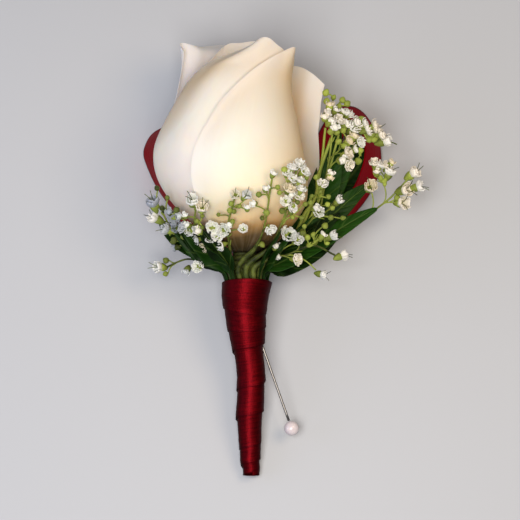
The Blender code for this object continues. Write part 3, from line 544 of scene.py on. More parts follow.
def clear_of_bud(points):
    """Moves each point that is too near the bud straight out from the bud's axis."""
    x, up, z = np.array(points, float).T
    middle = np.where(up > ROSE_BASE, bud_axis(up), stem_axis(up))
    angle = np.arctan2(x - middle, z)
    radius = np.maximum(np.hypot(x - middle, z), bud_guard(up, angle))
    return round_axis(middle, radius, up, angle)


def collar(across, up):
    """Depth of the baby's breath collar: a circle round the bud, then a straight fall to either side.

    The fall starts at three quarters of the radius, with the depth and slope that the circle has there,
    0.661 of the radius and 1.134, and it ends at the deepest.
    """
    radius = max(float(bud_guard(up, 0.0)), 9.0) + COLLAR_CLEAR
    off = abs(across - bud_axis(up))
    turning, deepest = 0.75 * radius, -4.0
    if off < turning:
        return math.sqrt(radius**2 - off**2)
    return max(0.661 * radius - 1.134 * (off - turning), deepest)


def neck_points(slot):
    """A bound stem's points inside the wrap, at its angle in the ring."""
    radius, up = np.array(NECK_PATH).T
    return round_axis(stem_axis(up), radius, up, math.radians(slot))


def stalk_cost(sample, foot):
    """A stalk's length from a place and heading on the sprig to a foot, raised if it turns or is short."""
    reach = foot - sample[0]
    length = np.linalg.norm(reach)
    turn = np.dot(reach, sample[1]) / (length * np.linalg.norm(sample[1]) + 1e-9)
    return length * (1.0 + 2.5 * max(0.0, 0.7 - turn)) + (3.0 if length < 2.0 else 0.0)


def grow_sprig(sprig, more):
    """The sprig's stem, its stalks and its florets' places and directions.

    A floret faces away from the stem's end, outwards, up and forwards, in fixed shares. Its stalk leaves
    the part of the sprig grown so far that has the least cost to reach it, and the florets in more are
    grown last. A stalk is a curve of nine points with one bend, and the growth goes on from every fourth.
    """
    florets = []
    for across, up, depth, kind in (*sprig["florets"], *more):
        florets.append(dict(place=np.array([across, up, collar(across, up) + depth]), kind=kind))
    start = np.array([*neck_points(sprig["slot"]), *sprig["stem"]])
    for floret in florets:
        outwards = unit(floret["place"] - [bud_axis(floret["place"][1]), floret["place"][1], 0.0])
        rise = unit(floret["place"] - start[-1])
        floret["facing"] = unit(rise * 0.8 + outwards * 0.5 + np.array([0.0, 0.25, 0.35]))
        floret["foot"] = floret["place"] - floret["facing"] * FLORET_LENGTH[floret["kind"]] * 0.85
    path = [*start, florets[0]["foot"]]
    stem = clear_of_bud(smooth_curve(path, np.linspace(0.0, 1.0, 14)))
    grown = list(zip(stem[5:], np.gradient(stem, axis=0)[5:]))
    own = len(sprig["florets"])
    order = [f for part in (florets[1:own], florets[own:])
             for f in sorted(part, key=lambda f: min(np.linalg.norm(f["foot"] - p) for p, _ in grown))]
    stalks = []
    for floret in order:
        root, heading = min(grown, key=partial(stalk_cost, foot=floret["foot"]))
        length = np.linalg.norm(floret["foot"] - root)
        bend = root + unit(heading) * length * 0.45
        t = np.linspace(0.0, 1.0, 9)[:, None]
        stalk = clear_of_bud((1 - t) ** 2 * root + 2 * t * (1 - t) * bend + t**2 * floret["foot"])
        stalk[0] = root
        stalks.append(stalk)
        coarse = stalk[::4]
        grown += list(zip(coarse[1:], np.gradient(coarse, axis=0)[1:]))
    return clear_of_bud(smooth_curve(path, np.linspace(0.0, 1.0, 40))), stalks, florets


# ---------------------------------------------------------------- closed shapes

ON_POINTS = ("lay", "rim", "shade")


def shape_of(points, quads, tris=(), finish=0, lay=0.0, rim=0.0, shade=0.0):
    """A closed shape with its faces turned outwards, which makes the volume that they enclose positive.

    lay holds each point's place on the surface in millimetres, rim how near a free edge it is, and shade
    is a number by which the parts of one finish differ in tone, in places painted light and shade.
    """
    points = np.asarray(points, float)
    quads = np.asarray(quads, int).reshape(-1, 4)
    tris = np.asarray(tris, int).reshape(-1, 3)
    halves = np.concatenate([tris, quads[:, [0, 1, 2]], quads[:, [0, 2, 3]]])
    corners = points[halves] - points.mean(axis=0)
    if np.linalg.det(corners).sum() < 0:
        quads, tris = quads[:, ::-1], tris[:, ::-1]
    count = len(points)
    return dict(
        points=points, quads=quads, tris=tris, lay=np.broadcast_to(lay, (count, 2)),
        rim=np.broadcast_to(rim, count), shade=np.broadcast_to(shade, count),
        quad_finish=np.full(len(quads), finish), tri_finish=np.full(len(tris), finish),
    )


def joined(shapes):
    """Several shapes as one, each one's face indices moved past the points before it."""
    starts = np.cumsum([0] + [len(s["points"]) for s in shapes[:-1]])
    whole = {key: np.concatenate([s[key] for s in shapes])
             for key in ("points", *ON_POINTS, "quad_finish", "tri_finish")}
    for key in ("quads", "tris"):
        whole[key] = np.concatenate([s[key] + start for s, start in zip(shapes, starts)])
    return whole


def moved(shape, turn, place, scale):
    """The shape turned by a matrix, scaled and then moved to a place."""
    return dict(shape, points=shape["points"] @ turn.T * scale + place)


def facing_turn(direction, roll):
    """The rotation matrix that points z along a direction, after a roll about z."""
    z = unit(np.asarray(direction, float))
    helper = np.array([0.0, 0.0, 1.0]) if abs(z[2]) < 0.9 else np.array([1.0, 0.0, 0.0])
    x = unit(np.cross(helper, z))
    spin = np.array([[math.cos(roll), -math.sin(roll), 0], [math.sin(roll), math.cos(roll), 0], [0, 0, 1]])
    return np.stack([x, np.cross(z, x), z], -1) @ spin


def grid_quads(rows, columns, start=0, round_columns=False):
    """The faces of a grid of points; round_columns joins the last column to the first."""
    last = columns if round_columns else columns - 1
    j, i = np.meshgrid(np.arange(rows - 1), np.arange(last), indexing="ij")
    k = (i + 1) % columns
    corners = [j * columns + i, j * columns + k, (j + 1) * columns + k, (j + 1) * columns + i]
    return start + np.stack(corners, -1).reshape(-1, 4)


def grid_normals(grid):
    """The unit cross product of a grid's differences along its columns and along its rows."""
    return unit(np.cross(np.gradient(grid, axis=1), np.gradient(grid, axis=0)))


def sheet_shape(grid, thickness, finish=0, lay=0.0, rim=0.0, shade=0.0):
    """A thin piece: the grid moved half its thickness to either side along its normals, with a rim."""
    rows, columns = size = grid.shape[:2]
    count = rows * columns
    half = grid_normals(grid) * np.broadcast_to(thickness, size)[..., None] / 2
    points = np.concatenate([(grid + half).reshape(-1, 3), (grid - half).reshape(-1, 3)])
    index = np.arange(count).reshape(size)
    edge = np.concatenate([index[0], index[1:, -1], index[-1, -2::-1], index[-2:0:-1, 0]])
    after = np.roll(edge, -1)
    quads = np.concatenate([
        grid_quads(rows, columns), grid_quads(rows, columns, count)[:, ::-1],
        np.stack([after, edge, edge + count, after + count], -1),
    ])
    lay = np.tile(np.broadcast_to(lay, (*size, 2)).reshape(-1, 2), (2, 1))
    rim, shade = (np.tile(np.broadcast_to(value, size).ravel(), 2) for value in (rim, shade))
    return shape_of(points, quads, (), finish, lay, rim, shade)


def tube_shape(path, radius, sides, finish=0, rim=0.0, shade=0.0, furrows=0, furrow_depth=0.0):
    """A round tube with closed ends: rings of points square to the path, and a point at each end.

    Each ring is turned by the world axis that the path runs along least. Furrows are cosine grooves
    that run the length of the tube. lay is the distance round the tube and along it.
    """
    path = np.asarray(path, float)
    radius = np.broadcast_to(radius, len(path)).astype(float)
    along = unit(np.gradient(path, axis=0))
    reference = np.eye(3)[np.abs(along).max(axis=0).argmin()]
    side = unit(np.cross(along, reference))
    other = np.cross(along, side)
    angle = np.linspace(0.0, TAU, sides, endpoint=False)
    wide = radius[:, None] * (1 - furrow_depth * (0.5 - 0.5 * np.cos(furrows * angle)))
    rings = (path[:, None] + wide[..., None] * (side[:, None] * np.cos(angle)[None, :, None]
                                                + other[:, None] * np.sin(angle)[None, :, None]))
    count = len(path) * sides
    points = np.concatenate([rings.reshape(-1, 3), path[:1], path[-1:]])
    i = np.arange(sides)
    k = (i + 1) % sides
    tris = np.concatenate([
        np.stack([np.full(sides, count), k, i], -1),
        np.stack([np.full(sides, count + 1), count - sides + i, count - sides + k], -1),
    ])
    length = lengths_along(path)
    lay = np.stack(np.broadcast_arrays(wide * angle, length[:, None]), -1).reshape(-1, 2)
    lay = np.concatenate([lay, [[0.0, length[0]], [0.0, length[-1]]]])
    rim, shade = (np.concatenate([np.repeat(value, sides), value[:1], value[-1:]])
                  for value in (np.broadcast_to(rim, len(path)), np.broadcast_to(shade, len(path))))
    return shape_of(points, grid_quads(len(path), sides, 0, True), tris, finish, lay, rim, shade)


def make_piece(name, shapes, finishes):
    """One object from closed shapes, riding on the row's only body in place of the node of its name."""
    whole = joined(shapes)
    mesh = bpy.data.meshes.new(name)
    mesh.vertices.add(len(whole["points"]))
    mesh.vertices.foreach_set("co", to_row(whole["points"]).ravel())
    corners = np.concatenate([whole["quads"].ravel(), whole["tris"].ravel()])
    sizes = np.concatenate([np.full(len(whole["quads"]), 4), np.full(len(whole["tris"]), 3)])
    mesh.loops.add(len(corners))
    mesh.loops.foreach_set("vertex_index", corners.astype(np.int32))
    mesh.polygons.add(len(sizes))
    mesh.polygons.foreach_set("loop_start", (np.cumsum(sizes) - sizes).astype(np.int32))
    picked = np.concatenate([whole["quad_finish"], whole["tri_finish"]])
    mesh.polygons.foreach_set("material_index", picked.astype(np.int32))
    mesh.update(calc_edges=True)
    mesh.validate()
    mesh.shade_smooth()
    lay = np.column_stack([whole["lay"], np.zeros(len(whole["lay"]))])
    mesh.attributes.new("lay", "FLOAT_VECTOR", "POINT").data.foreach_set("vector", lay.ravel())
    for key in ("rim", "shade"):
        mesh.attributes.new(key, "FLOAT", "POINT").data.foreach_set("value", whole[key])
    for finish in finishes:
        mesh.materials.append(finish)
    piece = bpy.data.objects.new(name, mesh)
    bpy.context.scene.collection.objects.link(piece)
    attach(piece, BODY)
    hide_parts(name)
    return piece


# ---------------------------------------------------------------- finishes

SETTING = dict(Math="operation", VectorMath="operation", Mix="data_type", Attribute="attribute_name")


def colour(code):
    """The linear red, green, blue and alpha of an sRGB hex colour."""
    channels = np.array([int(code[i:i + 2], 16) for i in (1, 3, 5)]) / 255
    linear = np.where(channels <= 0.04045, channels / 12.92, ((channels + 0.055) / 1.055) ** 2.4)
    return (*linear.tolist(), 1.0)


def apart(size):
    """The scale that sets a noise's grains so many millimetres apart on Object coordinates."""
    return 1 / (size * MM)


def fill(socket, value):
    """Gives a shader input its value: an output is linked to it, and a hex colour is made linear."""
    if isinstance(value, bpy.types.NodeSocket):
        socket.id_data.links.new(value, socket)
    else:
        socket.default_value = colour(value) if isinstance(value, str) else value


def fill_named(node, **values):
    """Fills a node's inputs by their names, with an underscore for each space."""
    for name, value in values.items():
        fill(node.inputs[name.replace("_", " ")], value)


def add_node(tree, kind, *values, out=None, stops=(), **named):
    """Adds a shader node, and gives its output called out, or else the first one in use.

    A second word in kind is what SETTING says. The values fill the inputs in use, in their order. A name
    with a capital is an input as well, and any other name is a setting.
    """
    kind, *first = kind.split()
    node = tree.nodes.new("ShaderNode" + kind)
    for value in first:
        setattr(node, SETTING[kind], value)
    for name in filter(str.islower, named):
        setattr(node, name, named[name])
    fill_named(node, **{name: value for name, value in named.items() if not name.islower()})
    for socket, value in zip([socket for socket in node.inputs if socket.enabled], values):
        fill(socket, value)
    for i, (place, tint) in enumerate(stops):
        ramp = node.color_ramp.elements
        stop = ramp[i] if i < len(ramp) else ramp.new(place)
        stop.position = place
        stop.color = colour(tint)
    return node.outputs[out] if out else next(socket for socket in node.outputs if socket.enabled)


def new_material(name, **values):
    """A material with its Principled shader's own inputs set, that shader, and add_node for its tree."""
    material = bpy.data.materials.new(name)
    material.use_nodes = True
    shader = material.node_tree.nodes["Principled BSDF"]
    fill_named(shader, **values)
    return material, shader, partial(add_node, material.node_tree)


def petal_material():
    """Rose petal: thin, waxy and full of water, so light spreads in it and comes through its rim.

    The colour goes from near black and dark olive brown at the foot, partly its own colour and partly
    painted shade deep in the bud, through tan and ivory to a paler rim. A shade above 0 warms it to
    apricot, partly the rose's own flush and partly painted shade, and one below 0 cools it to lilac grey
    as painted cool shade. Veins run from foot to rim and show as faint streaks about 1.4 mm apart, and the
    skin is a fine velvet.
    """
    material, shader, node = new_material(
        "rose_petal", Roughness=0.52, Subsurface_Weight=0.45, Subsurface_Scale=0.0016,
        Subsurface_Radius=(1.0, 0.62, 0.36), Specular_IOR_Level=0.3)
    lay = node("Attribute lay", out="Vector")
    rim = node("Attribute rim", out="Fac")
    shade = node("Attribute shade", out="Fac")
    place = node("TexCoord", out="Object")
    blotch = node("TexNoise", Vector=place, Scale=apart(18.18), Detail=3.0)
    height = node("SeparateXYZ", lay, out="Y")
    ragged = node("Math MULTIPLY_ADD", blotch, 6.0, height)
    share = node("MapRange", ragged, 4.0, 82.0)
    # The lowest stops are partly painted shade at the foot of the bud.
    body = node("ValToRGB", share, stops=(
        (0.0, "#2c2810"), (0.12, "#5a4726"), (0.17, "#a8844f"), (0.23, "#dfc296"), (0.34, "#f7e7cd"),
        (0.55, "#fbf1e2"), (1.0, "#faeee2")))
    drawn_out = node("VectorMath MULTIPLY", lay, (0.7, 0.035, 0.0))
    veins = node("TexNoise", Vector=drawn_out, Scale=1.0, Detail=4.0, Roughness=0.62)
    streak = node("MapRange", veins, 0.4, 0.75, 0.0, 0.12)
    veined = node("Mix RGBA", streak, body, "#f3dcc2")
    # The warm mix is partly painted shade, and the cool one is painted cool shade.
    warm = node("Mix RGBA", shade, veined, "#f0b871")
    below = node("Math MULTIPLY", shade, -1.0, use_clamp=True)
    cooled = node("Mix RGBA", below, warm, "#ded7dc")
    edge = node("MapRange", rim, 0.86, 1.0, 0.0, 0.5)
    tint = node("Mix RGBA", edge, cooled, "#fdf6ea")
    velvet = node("TexNoise", Vector=place, Scale=apart(0.3846), Detail=2.0)
    relief = node("Math ADD", veins, velvet)
    bump = node("Bump", Strength=0.22, Distance=0.00008, Height=relief)
    fill_named(shader, Base_Color=tint, Normal=bump)
    return material


def stem_material(name, pale, dark, bump_strength):
    """A fresh green stem: a smooth waxy skin with ribs 0.25 mm apart along it, and blotches 3 mm apart.

    The blotches and the shade run from the dark colour to the pale one, and a low shade is in places
    painted shade.
    """
    material, shader, node = new_material(
        name, Roughness=0.6, Specular_IOR_Level=0.25, Subsurface_Weight=0.15, Subsurface_Scale=0.0006,
        Subsurface_Radius=(0.5, 1.0, 0.2))
    lay = node("Attribute lay", out="Vector")
    shade = node("Attribute shade", out="Fac")
    place = node("TexCoord", out="Object")
    blotch = node("TexNoise", Vector=place, Scale=apart(3.125), Detail=4.0)
    mixed = node("Math ADD", shade, blotch)
    share = node("MapRange", mixed, 0.35, 1.35)
    tint = node("Mix RGBA", share, dark, pale)
    drawn_out = node("VectorMath MULTIPLY", lay, (4.0, 0.25, 1.0))
    ribs = node("TexNoise", Vector=drawn_out, Scale=1.0, Detail=2.0)
    bump = node("Bump", Strength=bump_strength, Distance=0.0001, Height=ribs)
    fill_named(shader, Base_Color=tint, Normal=bump)
    return material


def leaf_material():
    """A broad evergreen leaf: a dark waxy skin, a pale midrib, and side veins that lean forward.

    lay holds the share of the half width in x and millimetres from the leaf's foot in y. A side vein
    lies in every dip of a zigzag, 6 mm apart, and wanders a little.
    """
    material, shader, node = new_material(
        "waxy_leaf", Roughness=0.5, Coat_Weight=0.02, Coat_Roughness=0.4, Specular_IOR_Level=0.12)
    lay = node("Attribute lay", out="Vector")
    shade = node("Attribute shade", out="Fac")
    place = node("TexCoord", out="Object")
    sideways = node("SeparateXYZ", lay, out="X")
    along = node("SeparateXYZ", lay, out="Y")
    off = node("Math ABSOLUTE", sideways)
    wander = node("TexNoise", Vector=place, Scale=apart(3.846), Detail=3.0)
    lean = node("Math MULTIPLY_ADD", off, -5.0, along)
    bent = node("Math MULTIPLY_ADD", wander, 1.4, lean)
    zigzag = node("Math PINGPONG", bent, 3.0)
    vein = node("MapRange", zigzag, 0.0, 0.5, 1.0, 0.0)
    faint = node("Math MULTIPLY", vein, 0.5)
    midrib = node("MapRange", off, 0.02, 0.12, 1.0, 0.0)
    lines = node("Math MAXIMUM", faint, midrib)
    patch = node("TexNoise", Vector=place, Scale=apart(8.333), Detail=5.0)
    mixed = node("Math ADD", shade, patch)
    share = node("MapRange", mixed, 0.35, 1.4)
    # The near-black end is partly the leaf's own dark green and partly painted shade for the foliage at
    # the neck.
    blade = node("Mix RGBA", share, "#040c02", "#255014")
    paling = node("Math MULTIPLY", lines, 0.4)
    tint = node("Mix RGBA", paling, blade, "#6d8a40")
    sunk = node("Math SUBTRACT", patch, lines)
    bump = node("Bump", Strength=0.6, Distance=0.0003, Height=sunk)
    fill_named(shader, Base_Color=tint, Normal=bump)
    return material


def floret_material():
    """Baby's breath petals: thin, white and matt, with a green throat.

    rim runs from 0 at a petal's claw to 1 at its notched end, and the green near the claw is partly the
    throat's own and partly painted shade deep in the floret. shade casts the white from blue grey at 0,
    painted cool shade for the florets that lie in shadow, through pure white just above a half, to cream
    at 1.
    """
    material, shader, node = new_material(
        "babys_breath_petal", Roughness=0.6, Subsurface_Weight=0.35, Subsurface_Scale=0.0005,
        Subsurface_Radius=(1.0, 1.0, 0.9))
    rim = node("Attribute rim", out="Fac")
    shade = node("Attribute shade", out="Fac")
    place = node("TexCoord", out="Object")
    speck = node("TexNoise", Vector=place, Scale=apart(1.111), Detail=3.0)
    along = node("Math MULTIPLY_ADD", speck, 0.25, rim)
    # The dark green low stops are partly painted shade in the floret's throat.
    petal = node("ValToRGB", along, stops=(
        (0.0, "#74862f"), (0.25, "#b4c182"), (0.45, "#e6eadb"), (1.0, "#f3f4f0")))
    # The blue grey low end is painted shade.
    tone_and_painted_shade = node("ValToRGB", shade, stops=(
        (0.0, "#a3abbd"), (0.3, "#f0f4f6"), (0.55, "#ffffff"), (0.75, "#fbf3e6"), (1.0, "#efe3cc")))
    tint = node("Mix RGBA", 1.0, petal, tone_and_painted_shade, blend_type="MULTIPLY")
    bump = node("Bump", Strength=0.4, Distance=0.0001, Height=speck)
    fill_named(shader, Base_Color=tint, Normal=bump)
    return material


def satin_material():
    """Satin ribbon: polyester floats that lie along the ribbon, so its gloss is broad and deep red.

    Threads are 0.12 mm apart, too fine to show, and are drawn 0.45 mm apart. A dark raised selvage runs
    along both edges, and shade brightens the loops' red as painted light. lay holds millimetres across
    the ribbon from its middle in x, and along it in y.
    """
    material, shader, node = new_material("crimson_satin", Metallic=0.9, Specular_IOR_Level=0.2)
    lay = node("Attribute lay", out="Vector")
    rim = node("Attribute rim", out="Fac")
    shade = node("Attribute shade", out="Fac")
    place = node("TexCoord", out="Object")
    floats = node("VectorMath MULTIPLY", lay, (2.2, 0.16, 0.0))
    threads = node("TexNoise", Vector=floats, Scale=1.0, Detail=3.0, Roughness=0.7)
    weft = node("VectorMath MULTIPLY", lay, (0.6, 2.4, 0.0))
    picks = node("TexNoise", Vector=weft, Scale=1.0, Detail=2.0)
    weave = node("Math MULTIPLY_ADD", picks, 0.3, threads)
    share = node("MapRange", weave, 0.38, 0.9)
    cloth = node("Mix RGBA", share, "#380107", "#6a040d")
    # shade brightens the loops towards a bright red: painted light.
    painted_light_red = node("Mix RGBA", shade, cloth, "#d01022")
    selvage = node("MapRange", rim, 0.86, 0.97, 0.0, 0.5)
    tint = node("Mix RGBA", selvage, painted_light_red, "#3d020a")
    gloss = node("MapRange", threads, 0.3, 0.7, 0.38, 0.5)
    crease = node("TexNoise", Vector=place, Scale=apart(4.167), Detail=2.0)
    relief = node("Math MULTIPLY_ADD", crease, 1.6, weave)
    raised = node("Math MULTIPLY_ADD", selvage, 0.8, relief)
    bump = node("Bump", Strength=0.35, Distance=0.00022, Height=raised)
    fill_named(shader, Base_Color=tint, Roughness=gloss, Normal=bump)
    return material


def tape_material():
    """Florist's tape: waxed crepe paper, dull green, with fine crinkles 0.5 mm apart across it."""
    material, shader, node = new_material("florist_tape", Roughness=0.62)
    lay = node("Attribute lay", out="Vector")
    across = node("VectorMath MULTIPLY", lay, (0.3, 2.0, 0.0))
    crinkle = node("TexNoise", Vector=across, Scale=1.0, Detail=3.0)
    tint = node("Mix RGBA", crinkle, "#27401c", "#5b7a3a")
    bump = node("Bump", Strength=0.8, Distance=0.0002, Height=crinkle)
    fill_named(shader, Base_Color=tint, Normal=bump)
    return material


def pearl_material():
    """Pearl pin head: lacquered acrylic with a pearly pigment, so it is white with a soft clear gloss."""
    material, shader, node = new_material(
        "pearl_acrylic", Roughness=0.3, Coat_Weight=0.7, Coat_Roughness=0.12, Subsurface_Weight=0.25,
        Subsurface_Scale=0.0008, Subsurface_Radius=(1.0, 0.9, 0.9), Sheen_Weight=0.15,
        Sheen_Tint="#f2dcec")
    place = node("TexCoord", out="Object")
    swirl = node("TexNoise", Vector=place, Scale=apart(2.381), Detail=3.0, Distortion=0.6)
    tint = node("Mix RGBA", swirl, "#cfc7d0", "#e8e0e2")
    bump = node("Bump", Strength=0.12, Distance=0.0001, Height=swirl)
    fill_named(shader, Base_Color=tint, Normal=bump)
    return material


def steel_material():
    """Pin wire: drawn and polished nickel-plated steel, with marks 0.1 mm apart along it."""
    material, shader, node = new_material("plated_steel_wire", Metallic=1.0, Base_Color="#807f7e")
    lay = node("Attribute lay", out="Vector")
    marks = node("VectorMath MULTIPLY", lay, (9.0, 0.15, 0.0))
    drawn = node("TexNoise", Vector=marks, Scale=1.0, Detail=2.0)
    fill_named(shader, Roughness=node("MapRange", drawn, 0.0, 1.0, 0.3, 0.42))
    return material


def floor_material():
    """A plain pale painted board, whose tone drifts a little over 200 mm."""
    material, shader, node = new_material("pale_board", Roughness=0.8, Specular_IOR_Level=0.2)
    place = node("TexCoord", out="Object")
    tone = node("TexNoise", Vector=place, Scale=apart(200.0), Detail=1.0)
    tint = node("Mix RGBA", tone, "#bbc1c9", "#c1c7cf")
    fill_named(shader, Base_Color=tint)
    return material


# ---------------------------------------------------------------- the rose

def build_rose(petal, stem, sepal):
    """The petals from the outside in, the heart that fills them, the stem and the five sepals."""
    for number, shape in enumerate(PETALS, start=1):
        make_piece(f"rose_petal_{number:02d}", [petal_shape(number, shape)], [petal])
    make_piece("rose_heart", [heart_shape()], [petal])
    make_piece("rose_stem", [rose_stem_shape()], [stem])
    for number in range(5):
        make_piece(f"sepal_{number + 1}", [sepal_shape(number)], [sepal])


def petal_shape(number, shape):
    """A petal with a soft wave along its free edge, thinning from its middle to its rim.

    The wave is three sines that cross the petal aslant, a slower sine swells its face, and the crest is a
    bell curve across it that wanders as it rises. shade is the flush, partly the rose's own and partly
    painted shade, less a lilac grey low on the face that is painted cool shade.
    """
    columns, rows = (97, 73) if number <= SEEN_PETALS else (61, 41)
    u, v = (np.sin(line * math.pi / 2) for line in across_and_along(columns, rows))
    grid = petal_surface(u, v, shape)
    up = petal_share_up(u, v, shape["round"])
    edge = petal_edge(u, up, v)
    phase = np.random.default_rng(PETAL_SEED + number).uniform(0, TAU, 4)
    wave = (np.sin(3.1 * u + 2.0 * v + phase[0]) + 0.6 * np.sin(6.3 * u - 3.0 * v + phase[1])
            + 0.35 * np.sin(11.0 * u + 5.0 * v + phase[2]))
    swell = np.sin(2.2 * u + 1.7 * v + phase[3]) * smoothstep(v, 0.15, 0.5)
    crest_line = np.interp(up, (0.45, 0.88, 1.0), (-0.07, -0.37, -0.05))
    crest = bell_curve(u - crest_line, 0.2) * smoothstep(up, 0.25, 0.6)
    relief = shape["wave"] * wave * smoothstep(edge, 0.55, 1.0) + 0.12 * swell + shape["crest"] * crest
    outwards = np.stack([grid[..., 0] - bud_axis(grid[..., 1]), 0 * u, grid[..., 2]], -1)
    facing = grid_normals(grid)
    facing = facing * np.sign((facing * outwards).sum(-1, keepdims=True))
    grid = grid + facing * relief[..., None]
    thickness = PETAL_THICKNESS * (1 - 0.72 * smoothstep(edge, 0.5, 1.0))
    lay = np.stack([u * 30.0 + 90.0 * number, 80.0 * shape["top"] * v], -1)
    # The flush is partly painted shade, and the cool tint low on the face is painted cool shade.
    flush_and_painted_shade = sum(share * smoothstep(way, start, end)
                for way, (start, end, share) in zip((u, v), shape["flush_and_painted_shade"]))
    cool = shape["cool"] * smoothstep(v, 0.1, 0.3) * smoothstep(-v, -0.7, -0.4)
    return sheet_shape(grid, thickness, 0, lay, edge, flush_and_painted_shade * smoothstep(v, 0.0, 0.35) - cool)


def heart_shape():
    """The innermost petals, furled together: a cone with three furrows along it for their seams."""
    t = np.linspace(0.1, 0.86, 41)
    radius, height, middle = bud_offset(t, (PETALS[-1]["layer"] - 1.5) * PETAL_STEP)
    keep = radius > 0.61
    path = round_axis(middle, 0.0, ROSE_BASE + height, 0.0)[keep]
    tip = path[-1] + [0.6, 1.2, 0.0]
    radius = [*radius[keep], radius[keep][-1] * 0.4]
    return tube_shape([*path, tip], radius, 32, furrows=3, furrow_depth=0.16)


def rose_stem_shape():
    """The bound shaft, the swollen hip and the cone that carries the petals' feet, lightly furrowed.

    The hip has folds round it: a sine of its height, which shade follows, paler on the ridges and darker
    in the grooves as painted light and shade.
    """
    up, radius = smooth_curve(STEM_PROFILE, np.linspace(0, 1, 260)).T
    folds = np.sin(TAU * up / 1.5) * smoothstep(up, 57.0, 59.0) * smoothstep(-up, -65.0, -63.5)
    path = round_axis(stem_axis(up), 0.0, up, 0.0)
    # shade follows the folds: painted shade in the grooves, painted light on the ridges.
    return tube_shape(path, radius + 0.2 * folds, 36, furrows=5, furrow_depth=0.05,
                      shade=0.4 + 0.25 * folds)


def sepal_shape(number):
    """A sepal folded back over the hip: a strip that tapers along a path, keeled along its middle.

    Its margin waves in and out with a sine, its face is folded by a slanting one, and its edges curl.
    """
    u, v = across_and_along(25, 41)
    curve = smooth_curve(SEPAL_PATH, v[:, 0])
    radius, up = curve[:, :1], np.broadcast_to(curve[:, 1:], u.shape)
    width = 2.1 * (1 - v) ** 0.6 * (0.75 + 0.6 * v) + 0.25
    width = width * (1 + 0.05 * np.sin(31 * v + number))
    angle = math.radians(36 + 72 * number) + u * width / radius
    side = np.abs(u)
    folds = 0.3 * np.sin(TAU * (2.6 * v + 0.25 * u + 0.3 * number)) * smoothstep(1.05 - v, 0.0, 0.4)
    lifted = radius + 0.12 * (1 - side) ** 2 + 0.25 * smoothstep(side, 0.6, 1.0) * (1 - v) + folds
    grid = round_axis(stem_axis(up), lifted, up, angle)
    lay = np.stack([u * 2.0, v * 9.0 + 20 * number], -1)
    return sheet_shape(grid, 0.36 - 0.22 * smoothstep(side, 0.5, 1.0), 0, lay, side, 0.35)


# ---------------------------------------------------------------- leaves

def half_width(share, stalk, least, wide, fullest, blunt, tip):
    """Half a leaf's width: least on its stalk, plus a sine arch to the blunt power, and tip at its end.

    fullest moves the arch's top: towards the foot below 1 and towards the tip above it.
    """
    b = np.clip((share - stalk) / (1 - stalk), 0, 1)
    width = least + wide * np.sin(math.pi * b**fullest) ** blunt
    return np.where(share > 0.995, tip, width)


def blade_shape(path, face, outline, thickness, size, shade, seed, finish=0, wave=0.12, fold=0.16):
    """A leaf blade: a strip across a midrib path, square to the face direction, folded at the midrib.

    outline is what half_width asks for, and size the grid's columns and rows. The margin waves up and
    down, and the surface sinks between side veins 3 mm apart that lean towards the tip.
    """
    u, v = across_and_along(*size)
    share, off = v[:, 0], np.abs(u)
    near = 1e-3
    along = smooth_curve(path, share + near) - smooth_curve(path, share - near)
    side = unit(np.cross(along, face))
    out = unit(np.cross(side, along))
    width = half_width(share, **outline)[:, None]
    length = lengths_along(path)[-1]
    vein = np.cos(TAU * (v * length - 5.0 * off) / 3.0)
    lift = fold * width * off - 0.035 * width * vein * np.sin(math.pi * off)
    lift = lift + wave * width * off**2 * np.sin(9.0 * v + 2.0 * np.sign(u) + seed)
    grid = smooth_curve(path, share)[:, None] + side[:, None] * (u * width)[..., None]
    grid = grid + out[:, None] * lift[..., None]
    midrib = bell_curve(u, 0.09) * smoothstep(1.02 - v, 0.0, 0.6)
    thick = thickness * (1 - 0.55 * smoothstep(off, 0.6, 1.0)) + 0.35 * midrib
    return sheet_shape(grid, thick, finish, np.stack([u, v * length], -1), off, shade)


def build_leaves(leaf_finish):
    """Each broad leaf and the smaller ones beside it, whose stalks come out of the same binding."""
    for number, (name, leaf) in enumerate(LEAVES.items()):
        petiole = neck_points(leaf["slot"])
        path = np.array([*petiole, *leaf["midrib"]])
        lengths = lengths_along(path)
        stalk = lengths[len(petiole) + leaf["petiole"] - 1] / lengths[-1]
        outline = dict(stalk=stalk, least=0.5, wide=leaf["width"], fullest=leaf["fullest"], blunt=0.85,
                       tip=0.2)
        blades = [blade_shape(path, leaf["face"], outline, thickness=0.42, size=(25, 121),
                              shade=leaf["shade"], seed=number)]
        for leaflet in LEAFLETS[name]:
            path = [*neck_points(leaflet["slot"])[2:], *leaflet["midrib"]]
            outline = dict(stalk=0.12, least=0.3, wide=leaflet["width"], fullest=0.85, blunt=0.85, tip=0.3)
            blades.append(blade_shape(path, leaflet["face"], outline, thickness=0.36, size=(25, 81),
                                      shade=leaflet["shade"], seed=7 + number))
        make_piece(name, blades, [leaf_finish])


# ---------------------------------------------------------------- baby's breath

def petal_round(angle, out, across, up, rim):
    """A floret petal at an angle round z, from how far out, across and up each of its points lies."""
    x = out * math.cos(angle) - across * math.sin(angle)
    y = out * math.sin(angle) + across * math.cos(angle)
    return sheet_shape(np.stack([x, y, up], -1), FLORET_PETAL_THICKNESS, 1, rim=rim)


